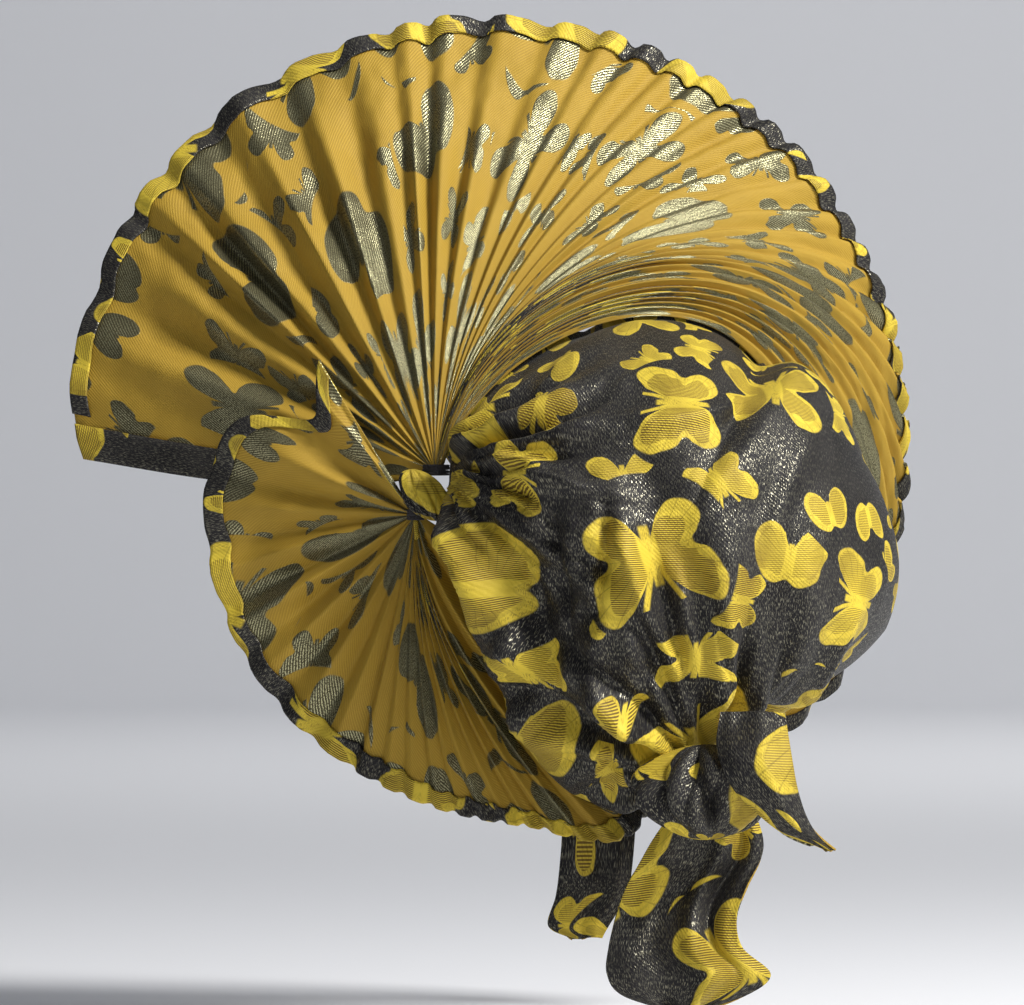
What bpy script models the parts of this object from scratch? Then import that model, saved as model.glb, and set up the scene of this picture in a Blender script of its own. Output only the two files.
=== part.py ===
"""A tied head wrap: a pleated brim, a smaller side fan, a draped cap, a nape knot and hanging tails.

Lengths are in metres. The wearer faces -Y and the wearer's left is +X. The origin is the top of the
hollow, where the wrap sits on the crown of the head.

The wrap is laid out in the plane of its brim: across runs to the wearer's right, up is +Z, and
toward comes out of the brim's back, over the cap. Tables give their places as shares of a named size.
"""

import math

import bpy
import numpy as np
from mathutils import Vector
from mathutils.bvhtree import BVHTree

for old in list(bpy.data.objects):
    bpy.data.objects.remove(old, do_unlink=True)

# Driving sizes
BRIM_RADIUS = 0.210
CAP_RADIUS = 0.112
CAP_DEPTH = 0.132
SIDE_REACH = 0.104
TAIL_DROP = 0.092
TIE_HALF = 0.0028
BRIM_TURN = math.radians(150)
CLOTH = 0.0016
HEM_CLOTH = 0.0012
HEM_WIDTH = 0.0095
GAP = 0.0004
EDGE_GAP = 0.0018
TUCK = 0.011
BAND_GAP = 0.0009
SEAT_REACH = 0.03
FOLD_DEPTH = 0.0075
SIDE_FOLD_DEPTH = 0.005
FOLD_STEEPNESS = 0.6

ACROSS = np.array([math.cos(BRIM_TURN), math.sin(BRIM_TURN), 0.0])
UP = np.array([0.0, 0.0, 1.0])
TOWARD = np.array([math.sin(BRIM_TURN), -math.cos(BRIM_TURN), 0.0])

# The brim, in shares of BRIM_RADIUS
RIM_CENTRE = np.array([-0.26, -0.25])
BRIM_THROAT = np.array([-0.388, -0.345, 0.240])
BRIM_THROAT_RADIUS = 0.036

# Each row is one pleat line, from the throat to the rim.
# angle and reach: where it meets the rim, about the rim's centre
# leave: the angle at which it leaves the throat
# rise_x, rise_z, rise_y and turn_x, turn_z, turn_y: across, up and toward of the two points that bend it
# rim_y: toward at the rim
BRIM_LINES = [
    # angle, reach, leave, rise_x, rise_z, rise_y, turn_x, turn_z, turn_y, rim_y
    (184, 0.975, 212, -0.640, -0.430, 0.15, -0.980, -0.360, 0.02, -0.08),
    (179, 0.995, 196, -0.650, -0.340, 0.15, -0.960, -0.290, 0.02, -0.09),
    (160, 1.010, 172, -0.630, -0.210, 0.14, -0.890, -0.080, 0.00, -0.14),
    (140, 1.010, 152, -0.600, -0.100, 0.13, -0.814, 0.148, -0.02, -0.19),
    (118, 1.000, 128, -0.510, -0.030, 0.12, -0.600, 0.310, -0.05, -0.24),
    (100, 1.000, 112, -0.412, 0.000, 0.11, -0.419, 0.374, -0.07, -0.27),
    (80, 1.000, 98, -0.362, 0.000, 0.10, -0.238, 0.381, -0.09, -0.29),
    (60, 1.005, 87, -0.333, 0.020, 0.10, -0.060, 0.381, -0.09, -0.32),
    (40, 1.010, 76, -0.314, 0.070, 0.10, 0.119, 0.330, -0.09, -0.36),
    (20, 1.010, 64, -0.306, 0.150, 0.10, 0.305, 0.335, -0.09, -0.42),
    (0, 1.015, 50, -0.288, 0.200, 0.10, 0.520, 0.375, -0.09, -0.50),
    (-20, 1.030, 36, -0.262, 0.188, 0.10, 0.715, 0.365, -0.09, -0.57),
    (-40, 1.040, 24, -0.236, 0.170, 0.10, 0.810, 0.360, -0.09, -0.58),
    (-56, 1.010, 14, -0.215, 0.150, 0.10, 0.875, 0.345, -0.09, -0.55),
]
# Angles at which the brim's folds stand up, broad by the low end and close by the high one
BRIM_FOLDS = [
    167, 154, 146, 138, 128, 118, 108.5, 102, 96, 88, 79, 73, 67.5, 62.5, 57.5, 52.5, 47.5, 42,
    36, 31, 26, 20.5, 15.5, 10.5, 5, -1, -7, -13, -19, -25, -31, -37, -43, -49,
]
BRIM_ROWS = [0.0, 0.03, 0.07, 0.13, 0.20, 0.28, 0.37, 0.47, 0.57, 0.68, 0.79, 0.90, 1.0]
BAY = 0.012
HEM_START = 0.02

# The side fan, in shares of SIDE_REACH, about its own throat
SIDE_THROAT = np.array([-0.880, -0.909, 0.540])
SIDE_THROAT_RADIUS = 0.050
SIDE_LINES = [
    # angle, reach, leave, rise_x, rise_z, rise_y, turn_x, turn_z, turn_y, rim_y
    (122, 0.86, 122, -1.040, -0.660, 0.55, -1.190, -0.420, 0.52, 0.48),
    (137, 0.66, 138, -1.040, -0.760, 0.55, -1.180, -0.620, 0.52, 0.47),
    (150, 0.93, 152, -1.160, -0.770, 0.53, -1.440, -0.610, 0.47, 0.41),
    (165, 1.00, 166, -1.200, -0.840, 0.50, -1.530, -0.760, 0.40, 0.33),
    (190, 1.00, 186, -1.210, -0.950, 0.46, -1.530, -1.000, 0.34, 0.28),
    (220, 1.06, 212, -1.110, -1.130, 0.46, -1.400, -1.340, 0.36, 0.30),
    (250, 1.20, 238, -0.980, -1.270, 0.46, -1.120, -1.690, 0.40, 0.36),
    (275, 1.40, 258, -0.900, -1.340, 0.45, -0.850, -1.800, 0.48, 0.52),
    (290, 1.57, 270, -0.870, -1.390, 0.44, -0.680, -1.850, 0.50, 0.58),
    (304, 1.82, 282, -0.800, -1.390, 0.43, -0.330, -1.930, 0.52, 0.62),
    (312, 1.74, 290, -0.640, -1.330, 0.36, -0.140, -1.840, 0.34, 0.38),
]
SIDE_FOLDS = [
    129.5, 155, 178, 196, 212, 226, 239, 250, 258, 264, 269.5, 274.5, 279, 283, 287, 290.5, 294, 297.5, 301, 304.5, 308,
]
SIDE_ROWS = [0.0, 0.08, 0.18, 0.30, 0.44, 0.58, 0.72, 0.86, 1.0]

# The cap, in shares of CAP_RADIUS about its middle, every 22.5 degrees from the wearer's right
CAP_MIDDLE = np.array([0.035, -0.1075])
CAP_SECTIONS = [
    # outline, outline_y, edge, edge_y
    (1.00, 0.20, 0.60, -0.50),
    (0.93, 0.18, 0.70, -0.40),
    (0.98, 0.14, 0.84, -0.22),
    (0.975, 0.04, 0.96, -0.08),
    (1.00, 0.00, 0.98, -0.08),
    (0.985, 0.08, 0.96, 0.02),
    (1.05, 0.26, 1.04, 0.20),
    (1.00, 0.46, 0.98, 0.38),
    (0.90, 0.60, 0.84, 0.42),
    (0.88, 0.66, 0.74, 0.46),
    (1.02, 0.66, 0.80, 0.48),
    (1.19, 0.66, 0.96, 0.54),
    (1.15, 0.64, 1.02, 0.54),
    (0.92, 0.48, 0.82, 0.26),
    (0.91, 0.32, 0.72, -0.08),
    (1.03, 0.22, 0.62, -0.36),
]
CAP_FRONT = 0.74
CAP_CELLS = 27
# Folds of the cap, as a start, a bend and an end about the cap's middle, with a half width and a height
CAP_FOLDS = [
    # start_x, start_z, bend_x, bend_z, end_x, end_z, half_width, height
    (-0.86, 0.16, -0.92, -0.35, -0.60, -0.84, 0.17, 0.15),
    (-0.62, 0.02, -0.64, -0.50, -0.40, -0.86, 0.13, -0.14),
    (-0.80, 0.36, -0.46, 0.20, -0.40, -0.40, 0.12, 0.08),
    (-0.36, 0.30, -0.16, 0.00, -0.20, -0.60, 0.12, 0.08),
    (-0.36, -0.30, -0.34, -0.70, -0.06, -1.00, 0.13, 0.10),
    (-0.10, -0.10, -0.10, -0.60, 0.12, -0.92, 0.12, -0.09),
    (0.16, -0.10, 0.16, -0.60, 0.22, -0.90, 0.12, 0.07),
    (0.66, -0.10, 0.52, -0.62, 0.28, -0.90, 0.13, 0.07),
]

# Hanging pieces: each row is one level, as a drop below the piece's top, its two sides and its depth
KNOT_PLACE = np.array([0.050, -0.228, 0.105])
KNOT_HALF = np.array([0.034, 0.026, 0.024])
KNOT_CREASES = 5
CREASE_DEPTH = 0.10
CREASE_TWIST = 2.2
NECK_GIRTH = 0.0050
NECK_CLEAR = 0.018
FLAP_TOP = np.array([0.066, -0.190, 0.116])
FLAP_LEVELS = [
    # drop, left, right, toward, belly
    (0.00, -0.10, 0.24, 0.00, 0.00),
    (0.20, -0.12, 0.27, 0.02, 0.06),
    (0.42, -0.02, 0.31, 0.03, 0.07),
    (0.60, 0.18, 0.38, 0.02, 0.04),
    (0.72, 0.44, 0.50, 0.00, 0.00),
]
STRIP_TOP = np.array([-0.005, -0.236, 0.040])
STRIP_LEVELS = [
    (0.00, -0.14, 0.25, 0.00, 0.02),
    (0.36, -0.17, 0.22, 0.01, 0.03),
    (0.50, -0.19, 0.19, 0.01, 0.03),
    (0.66, -0.23, 0.10, 0.02, 0.02),
    (0.74, -0.10, 0.06, 0.02, 0.02),
]
LOOP_TOP = np.array([0.050, -0.238, 0.115])
LOOP_LEVELS = [
    (0.00, -0.16, 0.26, 0.00, 0.02),
    (0.15, -0.27, 0.31, 0.02, 0.02),
    (0.27, -0.34, 0.30, 0.04, -0.05),
    (0.42, -0.42, 0.22, 0.06, -0.16),
    (0.57, -0.47, 0.17, 0.08, -0.14),
    (0.73, -0.51, 0.20, 0.08, -0.02),
    (0.87, -0.52, 0.35, 0.08, 0.07),
    (0.99, -0.44, 0.22, 0.07, 0.06),
    (1.08, -0.18, -0.06, 0.05, 0.01),
]

BRIM_GOLD = (0.53, 0.29, 0.035, 1.0)
HEM_BLACK = (0.045, 0.042, 0.040, 1.0)
LUREX_BLACK = (0.035, 0.034, 0.036, 1.0)
THREAD_BLACK = (0.012, 0.011, 0.012, 1.0)


def place(across, up, toward):
    """World place of a point given in the plane of the brim."""
    across, up, toward = np.broadcast_arrays(across, up, toward)
    return across[..., None] * ACROSS + up[..., None] * UP + toward[..., None] * TOWARD


def finish(name, colour, roughness, metallic=0.0):
    """A plain cloth or thread finish."""
    material = bpy.data.materials.new(name)
    material.use_nodes = True
    shader = material.node_tree.nodes["Principled BSDF"]
    shader.inputs["Base Color"].default_value = colour
    shader.inputs["Roughness"].default_value = roughness
    shader.inputs["Metallic"].default_value = metallic
    return material


def add_solid(name, points, faces, material):
    """One smooth shaded object from its points and faces."""
    mesh = bpy.data.meshes.new(name)
    mesh.from_pydata([tuple(map(float, point)) for point in points], [], faces)
    mesh.validate()
    mesh.materials.append(material)
    mesh.shade_smooth()
    solid = bpy.data.objects.new(name, mesh)
    bpy.context.collection.objects.link(solid)
    return solid


def add_sheet(name, outer, inner, material):
    """A closed wall between two grids of points, the outer one facing out."""
    rows, columns = outer.shape[:2]
    count = rows * columns
    index = np.arange(count).reshape(rows, columns)
    low, right = index[:-1, :-1].ravel(), index[:-1, 1:].ravel()
    far, left = index[1:, 1:].ravel(), index[1:, :-1].ravel()
    skin = np.concatenate([np.stack([low, right, far], axis=-1), np.stack([low, far, left], axis=-1)])
    edge = np.concatenate([index[0, :-1], index[:-1, -1], index[-1, :0:-1], index[:0:-1, 0]])
    after = np.roll(edge, -1)
    side = np.concatenate([
        np.stack([after, edge, edge + count], axis=-1), np.stack([after, edge + count, after + count], axis=-1),
    ])
    faces = np.concatenate([skin, skin[:, ::-1] + count, side])
    points = np.concatenate([outer.reshape(-1, 3), inner.reshape(-1, 3)])
    spot = skin[len(low) // 2]
    facing = np.cross(points[spot[1]] - points[spot[0]], points[spot[2]] - points[spot[0]])
    if np.dot(facing, points[spot[0]] - points[spot[0] + count]) < 0:
        faces = faces[:, ::-1]
    return add_solid(name, points, faces.tolist(), material)


def between(table, key):
    """Smooth values of a table's columns at each key, the first column being the key."""
    rows = np.array(sorted(table), dtype=float)
    known = rows[:, 0]
    values = rows[:, 1:]
    slope = np.gradient(values, known, axis=0)
    spot = np.clip(np.searchsorted(known, key) - 1, 0, len(known) - 2)
    width = known[spot + 1] - known[spot]
    share = ((np.asarray(key, dtype=float) - known[spot]) / width)[:, None]
    width = width[:, None]
    start = (1 + 2 * share) * (1 - share) ** 2 * values[spot] + share * (1 - share) ** 2 * width * slope[spot]
    end = share**2 * (3 - 2 * share) * values[spot + 1] + share**2 * (share - 1) * width * slope[spot + 1]
    return start + end


def pleat_lines(table, angles, size, throat, throat_radius, centre, bay):
    """Points of each pleat line in brim axes, as (line, step, 3), from the throat to the rim."""
    reach, leave, rise_x, rise_z, rise_y, turn_x, turn_z, turn_y, rim_y = between(table, angles).T
    turn = np.radians(angles)
    leave = np.radians(leave)
    reach = reach * (1 - bay)
    start = np.stack([
        throat[0] + throat_radius * np.cos(leave),
        throat[1] + throat_radius * np.sin(leave),
        np.full_like(leave, throat[2]),
    ], axis=-1)
    rise = np.stack([rise_x, rise_z, rise_y], axis=-1)
    bend = np.stack([turn_x, turn_z, turn_y], axis=-1)
    rim = np.stack([centre[0] + reach * np.cos(turn), centre[1] + reach * np.sin(turn), rim_y], axis=-1)
    share = np.linspace(0, 1, 81)[None, :, None]
    line = (1 - share) ** 3 * start[:, None] + 3 * (1 - share) ** 2 * share * rise[:, None]
    line = line + 3 * (1 - share) * share**2 * bend[:, None] + share**3 * rim[:, None]
    return line * size


def rows_of(line, row_shares, hem):
    """The line's points at shares of its length as far as the hem, then one at its end."""
    step = np.linalg.norm(np.diff(line, axis=0), axis=1)
    length = np.concatenate([[0.0], np.cumsum(step)])
    stops = np.append(np.array(row_shares) * (length[-1] - hem), length[-1])
    return np.stack([np.interp(stops, length, line[:, axis]) for axis in range(3)], axis=-1)


def pleated(table, folds, rows, size, throat, throat_radius, centre, ends, fold_depth):
    """A pleated fan with a crest at each fold and a hollow between.

    Gives its smooth grid in brim axes, its folded grid in world axes and the way its back faces,
    each as (row, column, 3).
    """
    crests = np.array(sorted(folds, reverse=ends[0] > ends[1]), dtype=float)
    hollows = (crests[:-1] + crests[1:]) / 2
    angles = np.empty(2 * len(crests) - 1)
    angles[0::2] = crests
    angles[1::2] = hollows
    angles = np.concatenate([ends[:1], ends[2:3], angles, ends[1:2]])
    stand = np.zeros(len(angles))
    stand[2:-1:2] = 1.0
    stand[3:-1:2] = -1.0
    bay = np.where(stand < 0, BAY, 0.0)
    lines = pleat_lines(table, angles, size, throat, throat_radius, centre, bay)
    grid = np.stack([rows_of(line, rows, HEM_WIDTH) for line in lines], axis=1)
    spacing = np.linalg.norm(np.diff(grid[:, :, :2], axis=1), axis=2)
    near = np.minimum(
        np.concatenate([spacing[:, :1], spacing], axis=1), np.concatenate([spacing, spacing[:, -1:]], axis=1)
    )
    smooth = place(grid[..., 0], grid[..., 1], grid[..., 2])
    square = np.cross(np.gradient(smooth, axis=0), np.gradient(smooth, axis=1))
    square /= np.linalg.norm(square, axis=-1, keepdims=True)
    square *= np.sign(square @ TOWARD)[..., None]
    share = np.append(rows, 1.0)[:, None, None]
    way = (1 - share) * TOWARD + share * square
    way /= np.linalg.norm(way, axis=-1, keepdims=True)
    lift = stand * np.minimum(fold_depth, FOLD_STEEPNESS * near)
    return grid, smooth + way * lift[..., None], way


def add_fan(name, folded, way, material):
    """A wall of cloth under a fan's folded grid."""
    return add_sheet(name, folded, folded - way * CLOTH, material)


def add_band(name, folded, way, material):
    """A turned-over band that lies on the back of part of a fan, with a gap under it."""
    return add_sheet(name, folded + way * (BAND_GAP + HEM_CLOTH), folded + way * BAND_GAP, material)


def cap_section(turn):
    """The cap's outline and edge at an angle about its middle, as four shares of CAP_RADIUS."""
    rows = np.array(CAP_SECTIONS)
    spot = (turn / (2 * math.pi) * len(rows)) % len(rows)
    low = np.floor(spot).astype(int)
    share = (spot - low)[..., None]
    before, here, after, beyond = (rows[(low + shift) % len(rows)] for shift in (-1, 0, 1, 2))
    straight = here + (after - here) * share
    return straight + share * (share - 1) * (before - here + beyond - after) / 4


def cap_shape(across, down, brim_edge):
    """Brim axes points of the cap's smooth form for places on a square from -1 to 1 each way."""
    far = np.maximum(np.abs(across), np.abs(down))
    wide = np.abs(across) >= np.abs(down)
    lead = np.where(wide, across, down)
    lag = np.where(wide, down, across)
    swing = np.where(lead == 0, 0, math.pi / 4 * lag / np.where(lead == 0, 1, lead))
    turn = np.where(wide, swing, math.pi / 2 - swing) + np.where(lead < 0, math.pi, 0)
    outline, outline_y, edge, edge_y = np.moveaxis(cap_section(turn) * CAP_RADIUS, -1, 0)
    free = np.interp(np.mod(turn, 2 * math.pi), brim_edge[0], brim_edge[1], period=2 * math.pi)
    edge = np.minimum(edge, free)
    over = np.maximum(outline - free, 0)
    clear = np.clip((over - TUCK) / TUCK, 0, 1)
    outline = np.minimum(outline, free) + over * clear * clear * (3 - 2 * clear)
    rise = np.clip(far / CAP_FRONT, 0, 1) * math.pi / 2
    radius = outline * np.sin(rise)
    toward = outline_y + (CAP_DEPTH - outline_y) * np.cos(rise)
    back = np.clip((far - CAP_FRONT) / (1 - CAP_FRONT), 0, 1)
    fall = back * back * (3 - 2 * back)
    radius = radius + (edge - outline) * fall
    toward = toward + (edge_y - outline_y) * back
    return np.stack([
        CAP_MIDDLE[0] + radius * np.cos(turn), CAP_MIDDLE[1] + radius * np.sin(turn), toward,
    ], axis=-1), far


def fold_height(points):
    """How far the cap's folds lift each point of the cap."""
    spots = (points[..., :2] - CAP_MIDDLE) / CAP_RADIUS
    lift = np.zeros(spots.shape[:-1])
    share = np.linspace(0, 1, 17)[:, None]
    for start_x, start_z, bend_x, bend_z, end_x, end_z, half_width, height in CAP_FOLDS:
        start = np.array([start_x, start_z])
        bend = np.array([bend_x, bend_z])
        end = np.array([end_x, end_z])
        line = (1 - share) ** 2 * start + 2 * (1 - share) * share * bend + share**2 * end
        away = np.linalg.norm(spots[..., None, :] - line, axis=-1)
        nearest = np.argmin(away, axis=-1)
        taper = np.sin(math.pi * np.clip(nearest / 16 * 0.9 + 0.07, 0, 1))
        lift += height * taper * np.exp(-((np.min(away, axis=-1) / half_width) ** 2))
    return lift * CAP_RADIUS


def add_cap(brim_edge, material):
    """The draped cap: a hollow wall of cloth, open towards the face and the neck."""
    steps = np.linspace(-1, 1, CAP_CELLS + 1)
    across, down = np.meshgrid(steps, steps)
    shape, far = cap_shape(across, down, brim_edge)
    smooth = place(shape[..., 0], shape[..., 1], shape[..., 2])
    along = np.gradient(smooth, axis=1)
    below = np.gradient(smooth, axis=0)
    normal = np.cross(along, below)
    normal /= np.linalg.norm(normal, axis=-1, keepdims=True)
    calm = np.clip((0.72 - far) / 0.16, 0, 1)
    outer = smooth + normal * (fold_height(shape) * calm)[..., None]
    inner = outer - normal * CLOTH
    return add_sheet("cap", outer, inner, material)


def add_hanging(name, top, levels, columns, material):
    """A hanging sheet: one row of points for each level, bellied between its two sides."""
    rows = between([(index, *row) for index, row in enumerate(levels)], np.linspace(0, len(levels) - 1, 11))
    drop, left, right, toward, belly = (rows * TAIL_DROP).T
    share = np.linspace(0, 1, columns)[None, :]
    across = top[0] + left[:, None] + (right - left)[:, None] * share
    depth = top[2] + toward[:, None] + belly[:, None] * np.sin(math.pi * share)
    up = top[1] - drop[:, None] + 0 * share
    return add_sheet(name, place(across, up, depth), place(across, up, depth - CLOTH), material)


def add_lump(name, middle, half, lean, creases, steps, material):
    """A gathered lump of cloth, creased from end to end, that leans across and toward as it rises."""
    around, along = steps
    points = [middle + np.array([0, half[1], 0])]
    for row in range(1, along):
        dip = math.pi * row / along
        for column in range(around):
            turn = 2 * math.pi * column / around
            girth = math.sin(dip) * (1 + CREASE_DEPTH * math.cos(creases * turn + CREASE_TWIST * dip))
            points.append(middle + half * np.array([girth * math.cos(turn), math.cos(dip), girth * math.sin(turn)]))
    points.append(middle - np.array([0, half[1], 0]))
    last = len(points) - 1
    faces = []
    for column in range(around):
        side = (column + 1) % around
        faces.append([0, 1 + side, 1 + column])
        faces.append([last, last - around + column, last - around + side])
        for row in range(along - 2):
            here = 1 + row * around
            faces.append([here + column, here + side, here + around + side, here + around + column])
    points = np.array(points)
    points += (points[:, 1:2] - middle[1]) * np.array([lean[0], 0, lean[1]])
    return add_solid(name, place(points[:, 0], points[:, 1], points[:, 2]), faces, material)


def add_winding(name, middle, half, radius, turns, material):
    """Turns of thread side by side, as one ribbed ring round the neck of a gather."""
    ring = []
    for turn in range(turns):
        for step in range(4):
            swing = math.pi * step / 4
            height = half * (2 * (turn + 0.5 - 0.5 * math.cos(swing)) / turns - 1)
            ring.append((height, radius * (0.84 + 0.16 * math.sin(swing))))
    ring += [(half, radius * 0.84), (half, radius * 0.6), (-half, radius * 0.6)]
    count = len(ring)
    around = 10
    points = []
    for column in range(around):
        turn = 2 * math.pi * column / around
        for height, reach in ring:
            points.append(middle + np.array([reach * math.cos(turn), height, 0.7 * reach * math.sin(turn)]))
    faces = []
    for column in range(around):
        side = (column + 1) % around
        for step in range(count):
            after = (step + 1) % count
            faces.append([
                column * count + step, column * count + after, side * count + after, side * count + step,
            ])
    points = np.array(points)
    return add_solid(name, place(points[:, 0], points[:, 1], points[:, 2]), faces, material)


def tree_of(solid, step=Vector((0, 0, 0))):
    """A search tree of one solid's faces, moved by a step."""
    mesh = solid.data
    points = [vertex.co + step for vertex in mesh.vertices]
    return BVHTree.FromPolygons(points, [tuple(face.vertices) for face in mesh.polygons]), points


def clearance(solid, step, others):
    """The least distance from a solid, moved by a step, to others, or -1 where they cross."""
    own, own_points = tree_of(solid, step)
    least = 1.0
    for other in others:
        tree, points = tree_of(other)
        if own.overlap(tree):
            return -1.0
        least = min(least, min(tree.find_nearest(point)[3] for point in own_points))
        least = min(least, min(own.find_nearest(point)[3] for point in points))
    return least


def seat(solid, others, way):
    """Slides a solid along a way until it stands one gap off the others."""
    way = Vector(way.tolist()).normalized()
    low, high = -SEAT_REACH, SEAT_REACH
    for _ in range(12):
        middle = (low + high) / 2
        if clearance(solid, way * middle, others) < GAP:
            high = middle
        else:
            low = middle
    for vertex in solid.data.vertices:
        vertex.co += way * low
    solid.data.update()


def inner_edge(grid):
    """The brim's last pleat line seen from the cap's middle: its angles and its distances less a gap."""
    line = grid[:, -1, :2] - CAP_MIDDLE
    turn = np.mod(np.arctan2(line[:, 1], line[:, 0]), 2 * math.pi)
    order = np.argsort(turn)
    return turn[order], np.linalg.norm(line, axis=1)[order] - EDGE_GAP


gold = finish("brim_gold", BRIM_GOLD, 0.62, 0.15)
dark = finish("hem_black", HEM_BLACK, 0.55, 0.25)
lurex = finish("cap_black_lurex", LUREX_BLACK, 0.5, 0.3)
thread = finish("binding_thread", THREAD_BLACK, 0.7)

brim, brim_folded, brim_way = pleated(
    BRIM_LINES, BRIM_FOLDS, BRIM_ROWS, BRIM_RADIUS, BRIM_THROAT, BRIM_THROAT_RADIUS, RIM_CENTRE,
    [184, -56, 179], FOLD_DEPTH,
)
side, side_folded, side_way = pleated(
    SIDE_LINES, SIDE_FOLDS, SIDE_ROWS, SIDE_REACH, SIDE_THROAT, SIDE_THROAT_RADIUS, SIDE_THROAT[:2],
    [122, 312, 125], SIDE_FOLD_DEPTH,
)
brim_fan = add_fan("brim_fan", brim_folded, brim_way, gold)
hem = brim_folded[-2:, 1:].copy()
hem[:, 0] += (hem[:, 1] - hem[:, 0]) * HEM_START
add_band("brim_hem", hem, brim_way[-2:, 1:], dark)
add_band("end_band", brim_folded[6:, :2], brim_way[6:, :2], dark)
side_fan = add_fan("side_fan", side_folded, side_way, gold)
side_hem = add_band("side_fan_hem", side_folded[-2:], side_way[-2:], dark)
cap = add_cap(inner_edge(brim), lurex)

brim_ring = BRIM_THROAT_RADIUS * BRIM_RADIUS - 2 * GAP
brim_tie = add_winding("brim_tie", BRIM_THROAT * BRIM_RADIUS, TIE_HALF, brim_ring, 3, thread)
side_ring = SIDE_THROAT_RADIUS * SIDE_REACH - 2 * GAP
side_tie = add_winding("side_tie", SIDE_THROAT * SIDE_REACH, TIE_HALF, side_ring, 3, thread)
run = BRIM_THROAT * BRIM_RADIUS - SIDE_THROAT * SIDE_REACH
neck_place = BRIM_THROAT * BRIM_RADIUS - run / 2 + np.array([0, 0, NECK_CLEAR])
neck_half = np.array([NECK_GIRTH, 0.5 * run[1], NECK_GIRTH])
neck = add_lump("gather_neck", neck_place, neck_half, run[[0, 2]] / run[1], 6, (18, 6), lurex)
seat(neck, [brim_fan, side_fan, side_tie, brim_tie, cap], -TOWARD)

knot = add_lump("nape_knot", KNOT_PLACE, KNOT_HALF, (0, 0), KNOT_CREASES, (20, 10), lurex)
seat(knot, [cap, side_fan, side_hem, brim_fan], -TOWARD)
flap = add_hanging("nape_flap", FLAP_TOP, FLAP_LEVELS, 7, lurex)
seat(flap, [cap, knot], -TOWARD)
strip = add_hanging("tail_strip", STRIP_TOP, STRIP_LEVELS, 5, lurex)
seat(strip, [side_fan, side_hem, knot, cap], TOWARD)
loop = add_hanging("tail_loop", LOOP_TOP, LOOP_LEVELS, 9, lurex)
seat(loop, [cap, knot, strip, flap, side_fan, side_hem], TOWARD)
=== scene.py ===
"""Tied head wrap in butterfly brocade: pleated brim, side fan, draped cap, nape knot and tails.

Lengths are in metres. Places are given in the plane of the brim: across runs to the wearer's right,
up is +Z, and toward comes out of the brim's back, over the cap. The origin is the crown of the hollow.
"""

from __future__ import annotations

import logging
import math
from collections.abc import Callable
from dataclasses import dataclass, field
from enum import Enum

import bpy
import numpy as np
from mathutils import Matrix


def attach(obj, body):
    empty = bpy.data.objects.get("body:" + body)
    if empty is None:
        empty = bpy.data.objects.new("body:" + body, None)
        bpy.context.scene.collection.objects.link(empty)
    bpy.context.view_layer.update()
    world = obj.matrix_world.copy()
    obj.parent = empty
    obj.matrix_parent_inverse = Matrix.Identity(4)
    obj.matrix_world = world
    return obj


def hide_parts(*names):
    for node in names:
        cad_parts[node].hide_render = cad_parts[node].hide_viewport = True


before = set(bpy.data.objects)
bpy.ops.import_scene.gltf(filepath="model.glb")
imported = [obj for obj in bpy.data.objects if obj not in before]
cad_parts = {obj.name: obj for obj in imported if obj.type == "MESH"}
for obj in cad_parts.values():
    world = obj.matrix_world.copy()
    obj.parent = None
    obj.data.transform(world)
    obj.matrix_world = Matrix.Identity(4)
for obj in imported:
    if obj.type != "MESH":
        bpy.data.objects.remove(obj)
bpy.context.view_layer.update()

LOG = logging.getLogger("head_wrap")
BRIM_TURN = math.radians(150)
ACROSS = np.array([math.cos(BRIM_TURN), math.sin(BRIM_TURN), 0.0])
UP = np.array([0.0, 0.0, 1.0])
TOWARD = np.array([math.sin(BRIM_TURN), -math.cos(BRIM_TURN), 0.0])
CLOTH = 0.0011
HEM_CLOTH = 0.0007
SEED = 11
FULL_TURN = 2 * math.pi

Pair = tuple[float, float]
Place = tuple[float, float, float]
Colour = tuple[float, float, float, float]
Table = list[tuple[float, ...]]
Socket = bpy.types.NodeSocket
Grid = np.ndarray


class Side(Enum):
    """The two sides of the cloth."""

    FACE = "face"
    REVERSE = "reverse"


def place(across: Grid, up: Grid, toward: Grid) -> Grid:
    """World places of points given in the plane of the brim.

    Args:
        across: Distances to the wearer's right.
        up: Heights.
        toward: Distances out of the brim's back.

    Returns:
        World points, with one more axis than the inputs.
    """
    across, up, toward = np.broadcast_arrays(across, up, toward)
    return across[..., None] * ACROSS + up[..., None] * UP + toward[..., None] * TOWARD


def smooth_step(value: Grid, low: float, high: float) -> Grid:
    """An eased ramp from 0 at low to 1 at high."""
    share = np.clip((value - low) / (high - low), 0, 1)
    return share * share * (3 - 2 * share)


def between(table: Table, key: Grid) -> Grid:
    """Smooth values of a table's columns.

    Args:
        table: Rows whose first column is the key.
        key: The keys to find values for.

    Returns:
        One row of the other columns for each key.
    """
    rows = np.array(sorted(table), dtype=float)
    known = rows[:, 0]
    values = rows[:, 1:]
    slope = np.gradient(values, known, axis=0)
    spot = np.clip(np.searchsorted(known, key) - 1, 0, len(known) - 2)
    width = known[spot + 1] - known[spot]
    share = ((np.asarray(key, dtype=float) - known[spot]) / width)[:, None]
    width = width[:, None]
    rest = 1 - share
    start = (1 + 2 * share) * rest**2 * values[spot] + share * rest**2 * width * slope[spot]
    end = share**2 * (3 - 2 * share) * values[spot + 1] - share**2 * rest * width * slope[spot + 1]
    return start + end


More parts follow.
